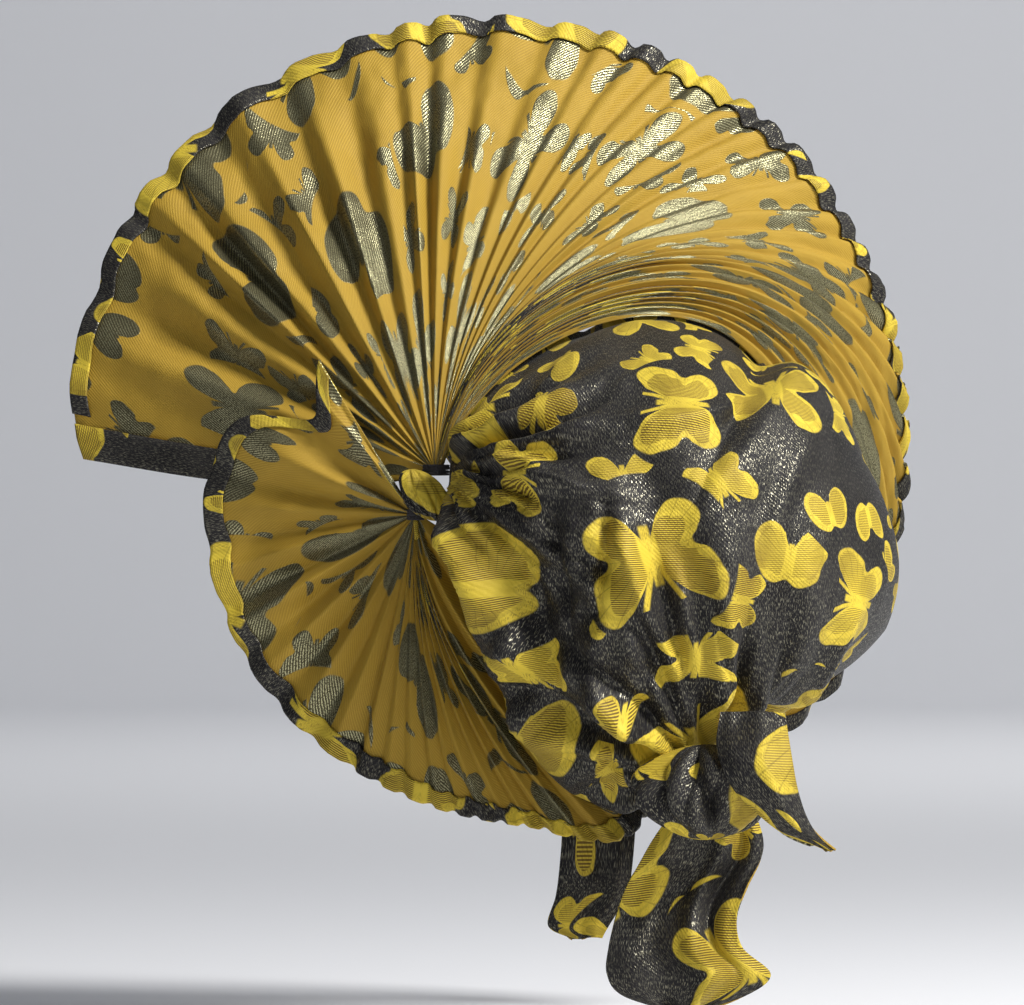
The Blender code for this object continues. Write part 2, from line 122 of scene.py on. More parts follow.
def square_to(points: Grid, toward: Grid) -> Grid:
    """Unit normals of a grid of points, on the side that faces a direction.

    Args:
        points: Points as (row, column, 3).
        toward: The direction that the normals face.

    Returns:
        Unit normals as (row, column, 3).
    """
    normal = np.cross(np.gradient(points, axis=0), np.gradient(points, axis=1))
    length = np.linalg.norm(normal, axis=-1, keepdims=True)
    normal = normal / np.maximum(length, 1e-12)
    facing = np.sum(normal * toward, axis=-1, keepdims=True)
    return np.where(facing < 0, -normal, normal)


def ripples(first: Grid, second: Grid, pitch: float, seed: int, waves: int = 9) -> Grid:
    """Soft random undulation over two flat coordinates.

    Args:
        first: One coordinate.
        second: The other coordinate.
        pitch: The usual distance between two crests.
        seed: Chooses the waves.
        waves: How many plane waves are summed.

    Returns:
        Heights of about -1 to 1.
    """
    source = np.random.default_rng(seed)
    total = np.zeros(np.broadcast(first, second).shape)
    for _ in range(waves):
        turn = source.uniform(0, math.pi)
        pace = FULL_TURN / (pitch * source.uniform(0.6, 1.7))
        start = source.uniform(0, FULL_TURN)
        total += np.sin(pace * (first * math.cos(turn) + second * math.sin(turn)) + start)
    return total / math.sqrt(waves) / 1.2


class Loom:
    """Adds and joins the nodes of one cloth material."""

    def __init__(self, name: str) -> None:
        """Starts an empty material of this name."""
        self.material = bpy.data.materials.new(name)
        self.material.use_nodes = True
        self.tree = self.material.node_tree
        self.shader = self.tree.nodes["Principled BSDF"]

    def node(self, kind: str, **settings: object) -> bpy.types.Node:
        """Adds a node and sets its properties."""
        made = self.tree.nodes.new(kind)
        for key, value in settings.items():
            setattr(made, key, value)
        return made

    def feed(self, socket: Socket, value: Socket | float | tuple[float, ...]) -> None:
        """Joins a socket to another, or sets its value."""
        if isinstance(value, bpy.types.NodeSocket):
            self.tree.links.new(value, socket)
        else:
            socket.default_value = value

    def math(self, operation: str, *values: Socket | float) -> Socket:
        """One arithmetic step, and its result."""
        made = self.node("ShaderNodeMath", operation=operation)
        for index, value in enumerate(values):
            self.feed(made.inputs[index], value)
        return made.outputs[0]

    def vector(self, operation: str, *values: Socket | tuple[float, ...]) -> Socket:
        """One vector step, and its vector result."""
        made = self.node("ShaderNodeVectorMath", operation=operation)
        for index, value in enumerate(values):
            self.feed(made.inputs[index], value)
        return made.outputs[0]

    def ramp(self, value: Socket, low: float, high: float, start: float = 0.0, end: float = 1.0) -> Socket:
        """A clamped eased change of a value between two limits."""
        made = self.node("ShaderNodeMapRange", interpolation_type="SMOOTHSTEP")
        for index, part in enumerate((value, low, high, start, end)):
            self.feed(made.inputs[index], part)
        return made.outputs[0]

    def blend(self, share: Socket | float, first: Socket | Colour, second: Socket | Colour) -> Socket:
        """A colour between two others."""
        made = self.node("ShaderNodeMix", data_type="RGBA")
        self.feed(made.inputs[0], share)
        self.feed(made.inputs[6], first)
        self.feed(made.inputs[7], second)
        return made.outputs[2]

    def mix(self, share: Socket | float, first: Socket | float, second: Socket | float) -> Socket:
        """A number between two others."""
        made = self.node("ShaderNodeMix", data_type="FLOAT")
        self.feed(made.inputs[0], share)
        self.feed(made.inputs[2], first)
        self.feed(made.inputs[3], second)
        return made.outputs[0]

    def noise(self, place_at: Socket, scale: float, detail: float = 2.0) -> Socket:
        """Noise over a place, as a value around one half."""
        made = self.node("ShaderNodeTexNoise", noise_dimensions="3D")
        self.feed(made.inputs["Vector"], place_at)
        self.feed(made.inputs["Scale"], scale)
        self.feed(made.inputs["Detail"], detail)
        return made.outputs[0]

    def bands(self, place_at: Socket, direction: str, scale: float, **settings: float) -> Socket:
        """Soft stripes over a place, as a value from 0 to 1."""
        made = self.node("ShaderNodeTexWave", wave_type="BANDS", bands_direction=direction)
        self.feed(made.inputs["Vector"], place_at)
        self.feed(made.inputs["Scale"], scale)
        for name, value in settings.items():
            self.feed(made.inputs[name], value)
        return made.outputs["Fac"]

    def relief(self, height: Socket, distance: float, strength: float = 1.0) -> None:
        """Raises the surface by a height."""
        made = self.node("ShaderNodeBump")
        self.feed(made.inputs["Strength"], strength)
        self.feed(made.inputs["Distance"], distance)
        self.feed(made.inputs["Height"], height)
        self.feed(self.shader.inputs["Normal"], made.outputs[0])

    def curve(self, value: Socket, points: list[Pair]) -> Socket:
        """A curve of a value from 0 to 1, through given points."""
        made = self.node("ShaderNodeFloatCurve")
        line = made.mapping.curves[0]
        line.points[0].location = points[0]
        line.points[1].location = points[-1]
        for point in points[1:-1]:
            line.points.new(*point)
        made.mapping.update()
        self.feed(made.inputs["Value"], value)
        return made.outputs[0]


@dataclass(frozen=True)
class Motif:
    """Where the current spot lies on its nearest butterfly.

    Attributes:
        mask: One on the butterfly.
        inside: How far the spot lies inside a wing's edge.
        turn: The way round the butterfly from its head.
        mood: A number of the butterfly's own.
        beside: How far the spot lies beside its body.
        near: One as far out as its wings may reach.
    """

    mask: Socket
    inside: Socket
    turn: Socket
    mood: Socket
    beside: Socket
    near: Socket


@dataclass(frozen=True)
class ButterflySize:
    """How large and how close one layer of butterflies is woven.

    Attributes:
        repeat: The usual distance between two, in metres.
        half_span: Half the span of the largest, in metres.
        scatter: How irregularly they are strewn.
        shift: Chooses them.
    """

    repeat: float
    half_span: float
    scatter: float
    shift: float


# Outlines of a butterfly: how far its edge lies from the body for each share of the way round from
# the head to the tail
BROAD_WINGS = [
    (0.0, 0.17), (0.09, 0.14), (0.15, 0.42), (0.20, 0.80), (0.25, 1.0), (0.31, 0.99), (0.38, 0.86),
    (0.46, 0.72), (0.53, 0.56), (0.58, 0.66), (0.68, 0.84), (0.78, 0.80), (0.87, 0.54), (0.94, 0.22),
    (1.0, 0.20),
]
ROUND_WINGS = [
    (0.0, 0.14), (0.08, 0.15), (0.14, 0.52), (0.22, 0.94), (0.29, 1.0), (0.37, 0.88), (0.45, 0.52),
    (0.50, 0.34), (0.55, 0.46), (0.63, 0.80), (0.72, 0.94), (0.82, 0.80), (0.90, 0.40), (0.95, 0.18),
    (1.0, 0.16),
]
CLOSED_WINGS = [
    (0.0, 0.14), (0.08, 0.44), (0.16, 0.86), (0.24, 1.0), (0.34, 0.96), (0.46, 0.82), (0.60, 0.70),
    (0.74, 0.62), (0.86, 0.56), (0.94, 0.44), (1.0, 0.36),
]
LARGE_BUTTERFLIES = ButterflySize(repeat=0.096, half_span=0.0420, scatter=0.55, shift=3.37)
SMALL_BUTTERFLIES = ButterflySize(repeat=0.048, half_span=0.0220, scatter=0.60, shift=7.81)


def weave_motif(loom: Loom, flat: Socket, size: ButterflySize) -> Motif:
    """Draws one layer of butterflies on the flat cloth.

    Args:
        loom: The material's nodes.
        flat: The place on the flat cloth, in metres.
        size: How large and close they are.

    Returns:
        The sockets that say where the spot lies on its butterfly.
    """
    pace = 1 / size.repeat
    spot = loom.vector("MULTIPLY_ADD", flat, (pace, pace, 0), (size.shift, size.shift, 0))
    cells = loom.node("ShaderNodeTexVoronoi", voronoi_dimensions="2D", feature="F1")
    loom.feed(cells.inputs["Vector"], spot)
    loom.feed(cells.inputs["Scale"], 1.0)
    loom.feed(cells.inputs["Randomness"], size.scatter)
    away = loom.vector("SUBTRACT", spot, cells.outputs["Position"])
    chance = loom.node("ShaderNodeSeparateColor")
    loom.feed(chance.inputs[0], cells.outputs["Color"])
    turned = loom.node("ShaderNodeVectorRotate", rotation_type="Z_AXIS")
    loom.feed(turned.inputs["Vector"], away)
    loom.feed(turned.inputs["Angle"], loom.math("MULTIPLY", chance.outputs[0], FULL_TURN))
    span = loom.math("MULTIPLY_ADD", chance.outputs[1], 0.34, 0.74)
    scale = loom.math("DIVIDE", size.repeat / size.half_span, span)
    parts = loom.node("ShaderNodeSeparateXYZ")
    loom.feed(parts.inputs[0], turned.outputs[0])
    wide = loom.math("ABSOLUTE", loom.math("MULTIPLY", parts.outputs[0], scale))
    tall = loom.math("MULTIPLY", parts.outputs[1], scale)
    turn = loom.math("DIVIDE", loom.math("ARCTAN2", wide, tall), math.pi)
    squares = [loom.math("MULTIPLY", side, side) for side in (wide, tall)]
    reach = loom.math("SQRT", loom.math("ADD", *squares))
    broad = loom.curve(turn, BROAD_WINGS)
    rounded = loom.curve(turn, ROUND_WINGS)
    closed = loom.curve(turn, CLOSED_WINGS)
    pick = chance.outputs[2]
    edge = loom.mix(loom.math("GREATER_THAN", pick, 0.45), broad, rounded)
    edge = loom.mix(loom.math("GREATER_THAN", pick, 0.80), edge, closed)
    inside = loom.math("SUBTRACT", edge, reach)
    wings = loom.ramp(inside, -0.02, 0.02)
    feeler_line = loom.math("MULTIPLY_ADD", tall, 0.42, -0.02)
    feeler = loom.math("ABSOLUTE", loom.math("SUBTRACT", wide, feeler_line))
    feelers = loom.math("MULTIPLY", loom.ramp(feeler, 0.05, 0.02), loom.math("GREATER_THAN", tall, 0.1))
    feelers = loom.math("MULTIPLY", feelers, loom.math("LESS_THAN", tall, 0.62))
    body_length = loom.ramp(loom.math("ABSOLUTE", tall), 0.42, 0.36)
    body = loom.math("MULTIPLY", loom.ramp(wide, 0.075, 0.04), body_length)
    mask = loom.math("MAXIMUM", wings, loom.math("MAXIMUM", feelers, body))
    mood = loom.math("FRACT", loom.math("MULTIPLY", chance.outputs[1], 7.13))
    return Motif(mask, inside, turn, mood, wide, loom.ramp(reach, 1.10, 1.07))


@dataclass(frozen=True)
class ButterflyBrocade:
    """The jacquard cloth, seen from one of its sides.

    Attributes:
        side: Which side of the cloth it is.
        ground: Colour of the ground weave.
        shade: The ground's darker threads.
        wing: Colour of a butterfly.
        wing_deep: Colour inside its wings.
        line: Colour of the drawn lines in its wings.
        glint: Colour of the metal thread.
        rib_scale: How fine the diagonal ribs are.
        pick_scale: How fine the crosswise threads are.
        sheen: How far the cloth brightens at a grazing look.
        specular: How far it mirrors the lights.
        rough: How matt the bare cloth and the metal thread are.
        relief: Height of the weave.
        relief_strength: How far that height counts.
    """

    side: Side
    ground: Colour
    shade: Colour
    wing: Colour
    wing_deep: Colour
    line: Colour
    glint: Colour
    rib_scale: float = 290.0
    pick_scale: float = 310.0
    sheen: float = 0.02
    specular: float = 0.25
    rough: Pair = (0.62, 0.30)
    relief: float = 0.0004
    relief_strength: float = 0.55

    def material(self) -> bpy.types.Material:
        """Builds the cloth's material."""
        loom = Loom(f"brocade_{self.side.value}")
        flat = loom.node("ShaderNodeUVMap", uv_map="flat_cloth").outputs[0]
        large = weave_motif(loom, flat, LARGE_BUTTERFLIES)
        small = weave_motif(loom, flat, SMALL_BUTTERFLIES)
        room = loom.math("SUBTRACT", 1.0, large.near)
        mask = loom.math("MAXIMUM", large.mask, loom.math("MULTIPLY", small.mask, room))
        inside = loom.mix(large.near, small.inside, large.inside)
        turn = loom.mix(large.near, small.turn, large.turn)
        mood = loom.mix(large.near, small.mood, large.mood)
        beside = loom.mix(large.near, small.beside, large.beside)
        rib = loom.bands(flat, "DIAGONAL", self.rib_scale, Distortion=0.35, Detail=1.0)
        pick = loom.bands(flat, "Y", self.pick_scale)
        dash = loom.noise(loom.vector("MULTIPLY", flat, (3400.0, 420.0, 1.0)), 1.0, 1.0)
        fleck = loom.noise(loom.vector("MULTIPLY", flat, (1500.0, 1100.0, 1.0)), 1.0, 1.0)
        cloud = loom.noise(loom.vector("MULTIPLY", flat, (38.0, 22.0, 1.0)), 1.0, 3.0)
        if self.side is Side.FACE:
            colour, metal = self.face_colours(loom, mask, inside, turn, beside, mood, dash, pick, cloud)
        else:
            colour, metal = self.reverse_colours(loom, mask, inside, mood, fleck, rib, cloud)
        loom.feed(loom.shader.inputs["Base Color"], colour)
        loom.feed(loom.shader.inputs["Metallic"], metal)
        loom.feed(loom.shader.inputs["Roughness"], loom.mix(metal, *self.rough))
        loom.feed(loom.shader.inputs["Sheen Weight"], self.sheen)
        loom.feed(loom.shader.inputs["Specular IOR Level"], self.specular)
        height = loom.math("MULTIPLY_ADD", mask, 0.45, loom.math("MULTIPLY", rib, 0.4))
        height = loom.math("ADD", height, loom.math("MULTIPLY", fleck, 0.8))
        loom.relief(height, self.relief, self.relief_strength)
        return loom.material

    def face_colours(
        self, loom: Loom, mask: Socket, inside: Socket, turn: Socket, beside: Socket, mood: Socket,
        dash: Socket, pick: Socket, cloud: Socket,
    ) -> tuple[Socket, Socket]:
        """Colours of the dark side: yellow butterflies with drawn wings on black lurex.

        Args:
            loom: The material's nodes.
            mask: One on a butterfly.
            inside: How far the spot lies inside a wing's edge.
            turn: The way round the butterfly from its head.
            beside: How far the spot lies beside its body.
            mood: A number of the butterfly's own.
            dash: Short streaks along the metal thread.
            pick: The fine crosswise weave.
            cloud: Slow unevenness.

        Returns:
            The colour and how metallic it is.
        """
        veins = loom.math("PINGPONG", loom.math("MULTIPLY", turn, 13.0), 0.5)
        vein = loom.math("MULTIPLY", loom.ramp(veins, 0.07, 0.02), loom.ramp(beside, 0.12, 0.30))
        trim = loom.math("ABSOLUTE", loom.math("SUBTRACT", inside, 0.13))
        drawn = loom.math("MAXIMUM", vein, loom.math("MULTIPLY", loom.ramp(trim, 0.035, 0.012), 0.45))
        ragged = loom.math("MULTIPLY_ADD", cloud, 0.9, loom.math("SUBTRACT", inside, 0.47))
        cell = loom.math("MULTIPLY", loom.ramp(ragged, 0.12, 0.16), loom.ramp(beside, 0.09, 0.13))
        hatch = loom.math("MULTIPLY", loom.ramp(pick, 0.30, 0.55), cell)
        spots = loom.math("MULTIPLY", loom.ramp(dash, 0.54, 0.60), loom.ramp(inside, 0.18, 0.06))
        deep = loom.math("MULTIPLY", hatch, loom.ramp(mood, 0.20, 0.6, 0.65, 1.0))
        deep = loom.math("MAXIMUM", deep, loom.math("MULTIPLY", spots, 0.5))
        wing = loom.blend(deep, self.wing, self.wing_deep)
        wing = loom.blend(loom.math("MULTIPLY", drawn, 0.34), wing, self.line)
        wing = loom.blend(loom.ramp(cloud, 0.40, 0.75, 0.0, 0.5), wing, self.wing_deep)
        glint = loom.ramp(dash, 0.55, 0.66)
        ground = loom.blend(loom.ramp(cloud, 0.35, 0.7), self.ground, self.shade)
        ground = loom.blend(loom.math("MULTIPLY", glint, 0.62), ground, self.glint)
        colour = loom.blend(mask, ground, wing)
        bare = loom.math("SUBTRACT", 1.0, mask)
        shine = loom.math("MULTIPLY_ADD", glint, 0.75, 0.1)
        return colour, loom.math("ADD", loom.math("MULTIPLY", shine, bare), 0.08)

    def reverse_colours(
        self, loom: Loom, mask: Socket, inside: Socket, mood: Socket, fleck: Socket, rib: Socket,
        cloud: Socket,
    ) -> tuple[Socket, Socket]:
        """Colours of the gold side: glittering dark butterflies on a ribbed mustard ground.

        Args:
            loom: The material's nodes.
            mask: One on a butterfly.
            inside: How far the spot lies inside a wing's edge.
            mood: A number of the butterfly's own.
            fleck: Fine specks of the metal thread.
            rib: The diagonal rib of the ground.
            cloud: Slow unevenness.

        Returns:
            The colour and how metallic it is.
        """
        ground = loom.blend(loom.math("MULTIPLY", rib, 0.55), self.ground, self.shade)
        ground = loom.blend(loom.ramp(cloud, 0.4, 0.75, 0.0, 0.3), ground, self.shade)
        lines = loom.math("MULTIPLY_ADD", rib, 0.26, loom.math("SUBTRACT", fleck, 0.13))
        sparkle = loom.ramp(lines, 0.48, 0.62)
        fade = loom.ramp(loom.math("ADD", inside, loom.math("MULTIPLY", mood, 0.3)), 0.05, 0.5, 0.55, 1.0)
        wing = loom.blend(loom.math("MULTIPLY", sparkle, fade), self.wing, self.glint)
        wing = loom.blend(loom.math("MULTIPLY", loom.math("SUBTRACT", 1.0, rib), 0.5), wing, self.wing_deep)
        colour = loom.blend(mask, ground, wing)
        shine = loom.math("MULTIPLY_ADD", sparkle, 0.6, 0.3)
        return colour, loom.math("MULTIPLY_ADD", mask, shine, 0.04)


@dataclass(frozen=True)
class ThreadFinish:
    """Matt binding thread.

    Attributes:
        colour: Its colour in the painted shade between the plies.
        highlight: How many times lighter the plies are painted on their crests, as a painted highlight.
        roughness: How matt it is.
        ply_scale: How fine the plies are.
        relief: Height of the plies.
    """

    colour: Colour = (0.020, 0.018, 0.020, 1.0)
    highlight: float = 3.5
    roughness: float = 0.75
    ply_scale: float = 900.0
    relief: float = 0.0003

    def material(self) -> bpy.types.Material:
        """Builds the thread's material, with the twist of its plies painted in: a painted highlight on
        their crests and painted shade between them.
        """
        loom = Loom("binding_thread")
        coords = loom.node("ShaderNodeTexCoord")
        plies = loom.bands(coords.outputs["Object"], "DIAGONAL", self.ply_scale)
        # The base colour paints the plies: a painted highlight on their crests, painted shade between them.
        light = tuple(min(1.0, self.highlight * part) for part in self.colour[:3]) + (1.0,)
        loom.feed(loom.shader.inputs["Base Color"], loom.blend(plies, self.colour, light))
        loom.feed(loom.shader.inputs["Roughness"], self.roughness)
        loom.relief(plies, self.relief)
        return loom.material


FACE_CLOTH = ButterflyBrocade(
    side=Side.FACE,
    ground=(0.010, 0.009, 0.010, 1.0),
    shade=(0.024, 0.022, 0.022, 1.0),
    wing=(0.690, 0.520, 0.050, 1.0),
    wing_deep=(0.150, 0.090, 0.012, 1.0),
    line=(0.060, 0.035, 0.008, 1.0),
    glint=(0.360, 0.340, 0.250, 1.0),
)
REVERSE_CLOTH = ButterflyBrocade(
    side=Side.REVERSE,
    ground=(0.450, 0.288, 0.034, 1.0),
    shade=(0.270, 0.158, 0.015, 1.0),
    wing=(0.080, 0.070, 0.034, 1.0),
    wing_deep=(0.045, 0.040, 0.018, 1.0),
    line=(0.060, 0.045, 0.015, 1.0),
    glint=(0.460, 0.435, 0.250, 1.0),
)


class Wardrobe:
    """The finishes shared by the pieces."""

    def __init__(self) -> None:
        """Builds each finish once."""
        self.face = FACE_CLOTH.material()
        self.reverse = REVERSE_CLOTH.material()
        self.thread = ThreadFinish().material()

    def slots(self, out: Side) -> list[bpy.types.Material]:
        """The outer and the inner material of a sheet that shows this side out."""
        return [self.face, self.reverse] if out is Side.FACE else [self.reverse, self.face]


def only(piece: bpy.types.Object) -> None:
    """Selects this object alone and makes it active."""
    bpy.ops.object.select_all(action="DESELECT")
    piece.select_set(True)
    bpy.context.view_layer.objects.active = piece


def edit_all(step: Callable[..., object], **settings: object) -> None:
    """Runs one mesh operator on the whole of the active object."""
    bpy.ops.object.mode_set(mode="EDIT")
    bpy.ops.mesh.select_all(action="SELECT")
    step(**settings)
    bpy.ops.object.mode_set(mode="OBJECT")


def values_of(items: bpy.types.bpy_prop_collection, name: str, width: int) -> Grid:
    """Reads one property of all items of a mesh, a row for each."""
    values = np.empty(len(items) * width)
    items.foreach_get(name, values)
    return values.reshape(-1, width)


def add_sheet(
    name: str, points: Grid, flat: Grid, outward: Grid, materials: list[bpy.types.Material],
    thick: float = CLOTH,
) -> bpy.types.Object:
    """Lays a grid primitive on a surface and gives it the wall of a cloth.

    Args:
        name: The piece's name.
        points: World points as (row, column, 3), on the outer side.
        flat: Places on the flat cloth as (row, column, 2).
        outward: A direction, or one for each point, that the outer side faces.
        materials: The outer and the inner finish.
        thick: The wall's thickness.

    Returns:
        The finished object.
    """
    rows, columns = points.shape[:2]
    bpy.ops.object.select_all(action="DESELECT")
    bpy.ops.mesh.primitive_grid_add(x_subdivisions=columns - 1, y_subdivisions=rows - 1, size=2)
    piece = bpy.context.active_object
    piece.name = name
    mesh = piece.data
    rest = values_of(mesh.vertices, "co", 3)
    column = np.rint((rest[:, 0] + 1) / 2 * (columns - 1)).astype(int)
    row = np.rint((rest[:, 1] + 1) / 2 * (rows - 1)).astype(int)
    mesh.vertices.foreach_set("co", points[row, column].ravel())
    layer = mesh.uv_layers.active or mesh.uv_layers.new()
    layer.name = "flat_cloth"
    corner = np.empty(len(mesh.loops), dtype=int)
    mesh.loops.foreach_get("vertex_index", corner)
    layer.data.foreach_set("uv", flat[row, column][corner].ravel())
    mesh.update()
    facing = np.broadcast_to(outward, points.shape)[row, column]
    if np.sum(values_of(mesh.vertices, "normal", 3) * facing) < 0:
        only(piece)
        edit_all(bpy.ops.mesh.flip_normals)
    for material in materials:
        mesh.materials.append(material)
    only(piece)
    wall = piece.modifiers.new("wall", "SOLIDIFY")
    wall.thickness = thick
    wall.offset = -1.0
    wall.material_offset = 1
    wall.material_offset_rim = 1
    bpy.ops.object.modifier_apply(modifier=wall.name)
    bpy.ops.object.shade_smooth()
    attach(piece, "root")
    return piece


def report(piece: bpy.types.Object) -> None:
    """Logs a finished piece with its size and the area of one of its sides."""
    area = sum(face.area for face in piece.data.polygons) / 2
    LOG.info("%s: %d faces, %.4f square metres", piece.name, len(piece.data.polygons), area)


# Each row is one pleat line of the brim: the rim's angle, its reach, the angle at which the line leaves
# the gather, the two bends between them (across, up, toward) and the rim's place toward
BRIM_LINES = [
    (184, 0.975, 212, -0.640, -0.430, 0.15, -0.980, -0.360, 0.02, -0.08),
    (179, 0.995, 196, -0.650, -0.340, 0.15, -0.960, -0.290, 0.02, -0.09),
    (160, 1.010, 172, -0.630, -0.210, 0.14, -0.890, -0.080, 0.00, -0.14),
    (140, 1.010, 152, -0.600, -0.100, 0.13, -0.814, 0.148, -0.02, -0.19),
    (118, 1.000, 128, -0.510, -0.030, 0.12, -0.600, 0.310, -0.05, -0.24),
    (100, 1.000, 112, -0.412, 0.000, 0.11, -0.419, 0.374, -0.07, -0.27),
    (80, 1.000, 98, -0.362, 0.000, 0.10, -0.238, 0.381, -0.09, -0.29),
    (60, 1.005, 87, -0.333, 0.020, 0.10, -0.060, 0.381, -0.09, -0.32),
    (40, 1.010, 76, -0.314, 0.070, 0.10, 0.119, 0.330, -0.09, -0.36),
    (20, 1.010, 64, -0.306, 0.150, 0.10, 0.305, 0.335, -0.09, -0.42),
    (0, 1.015, 50, -0.288, 0.200, 0.10, 0.520, 0.375, -0.09, -0.50),
    (-20, 1.030, 36, -0.262, 0.188, 0.10, 0.715, 0.365, -0.09, -0.57),
    (-40, 1.040, 24, -0.236, 0.170, 0.10, 0.810, 0.360, -0.09, -0.58),
    (-56, 1.010, 14, -0.215, 0.150, 0.10, 0.875, 0.345, -0.09, -0.55),
]
# Angles at which the brim's folds stand up
BRIM_FOLDS = [
    167, 154, 146, 138, 128, 118, 108.5, 102, 96, 88, 79, 73, 67.5, 62.5, 57.5, 52.5, 47.5, 42,
    36, 31, 26, 20.5, 15.5, 10.5, 5, -1, -7, -13, -19, -25, -31, -37, -43, -49,
]
# The side fan's pleat lines, with the same columns, and its folds
SIDE_LINES = [
    (122, 0.86, 122, -1.040, -0.660, 0.55, -1.190, -0.420, 0.52, 0.48),
    (137, 0.66, 138, -1.040, -0.760, 0.55, -1.180, -0.620, 0.52, 0.47),
    (150, 0.93, 152, -1.160, -0.770, 0.53, -1.440, -0.610, 0.47, 0.41),
    (165, 1.00, 166, -1.200, -0.840, 0.50, -1.530, -0.760, 0.40, 0.33),
    (190, 1.00, 186, -1.210, -0.950, 0.46, -1.530, -1.000, 0.34, 0.28),
    (220, 1.06, 212, -1.110, -1.130, 0.46, -1.400, -1.340, 0.36, 0.30),
    (250, 1.20, 238, -0.980, -1.270, 0.46, -1.120, -1.690, 0.40, 0.36),
    (275, 1.40, 258, -0.900, -1.340, 0.45, -0.850, -1.800, 0.48, 0.52),
    (290, 1.57, 270, -0.870, -1.390, 0.44, -0.680, -1.850, 0.50, 0.58),
    (304, 1.82, 282, -0.800, -1.390, 0.43, -0.330, -1.930, 0.52, 0.62),
    (312, 1.74, 345, -0.560, -1.040, 0.36, -0.110, -1.810, 0.34, 0.38),
]
SIDE_FOLDS = [
    129.5, 155, 178, 196, 212, 226, 239, 250, 258, 264, 269.5, 274.5, 279, 283, 287, 290.5, 294,
    297.5, 301, 304.5, 308,
]
# How the turned-over edge lies on the cloth: shares of its width from its inner edge, and lifts
HEM_STEPS = [(0.0, 0.0010), (0.0, 0.0015), (0.12, 0.0017), (0.4, 0.0015), (0.7, 0.0015), (0.92, 0.0015)]


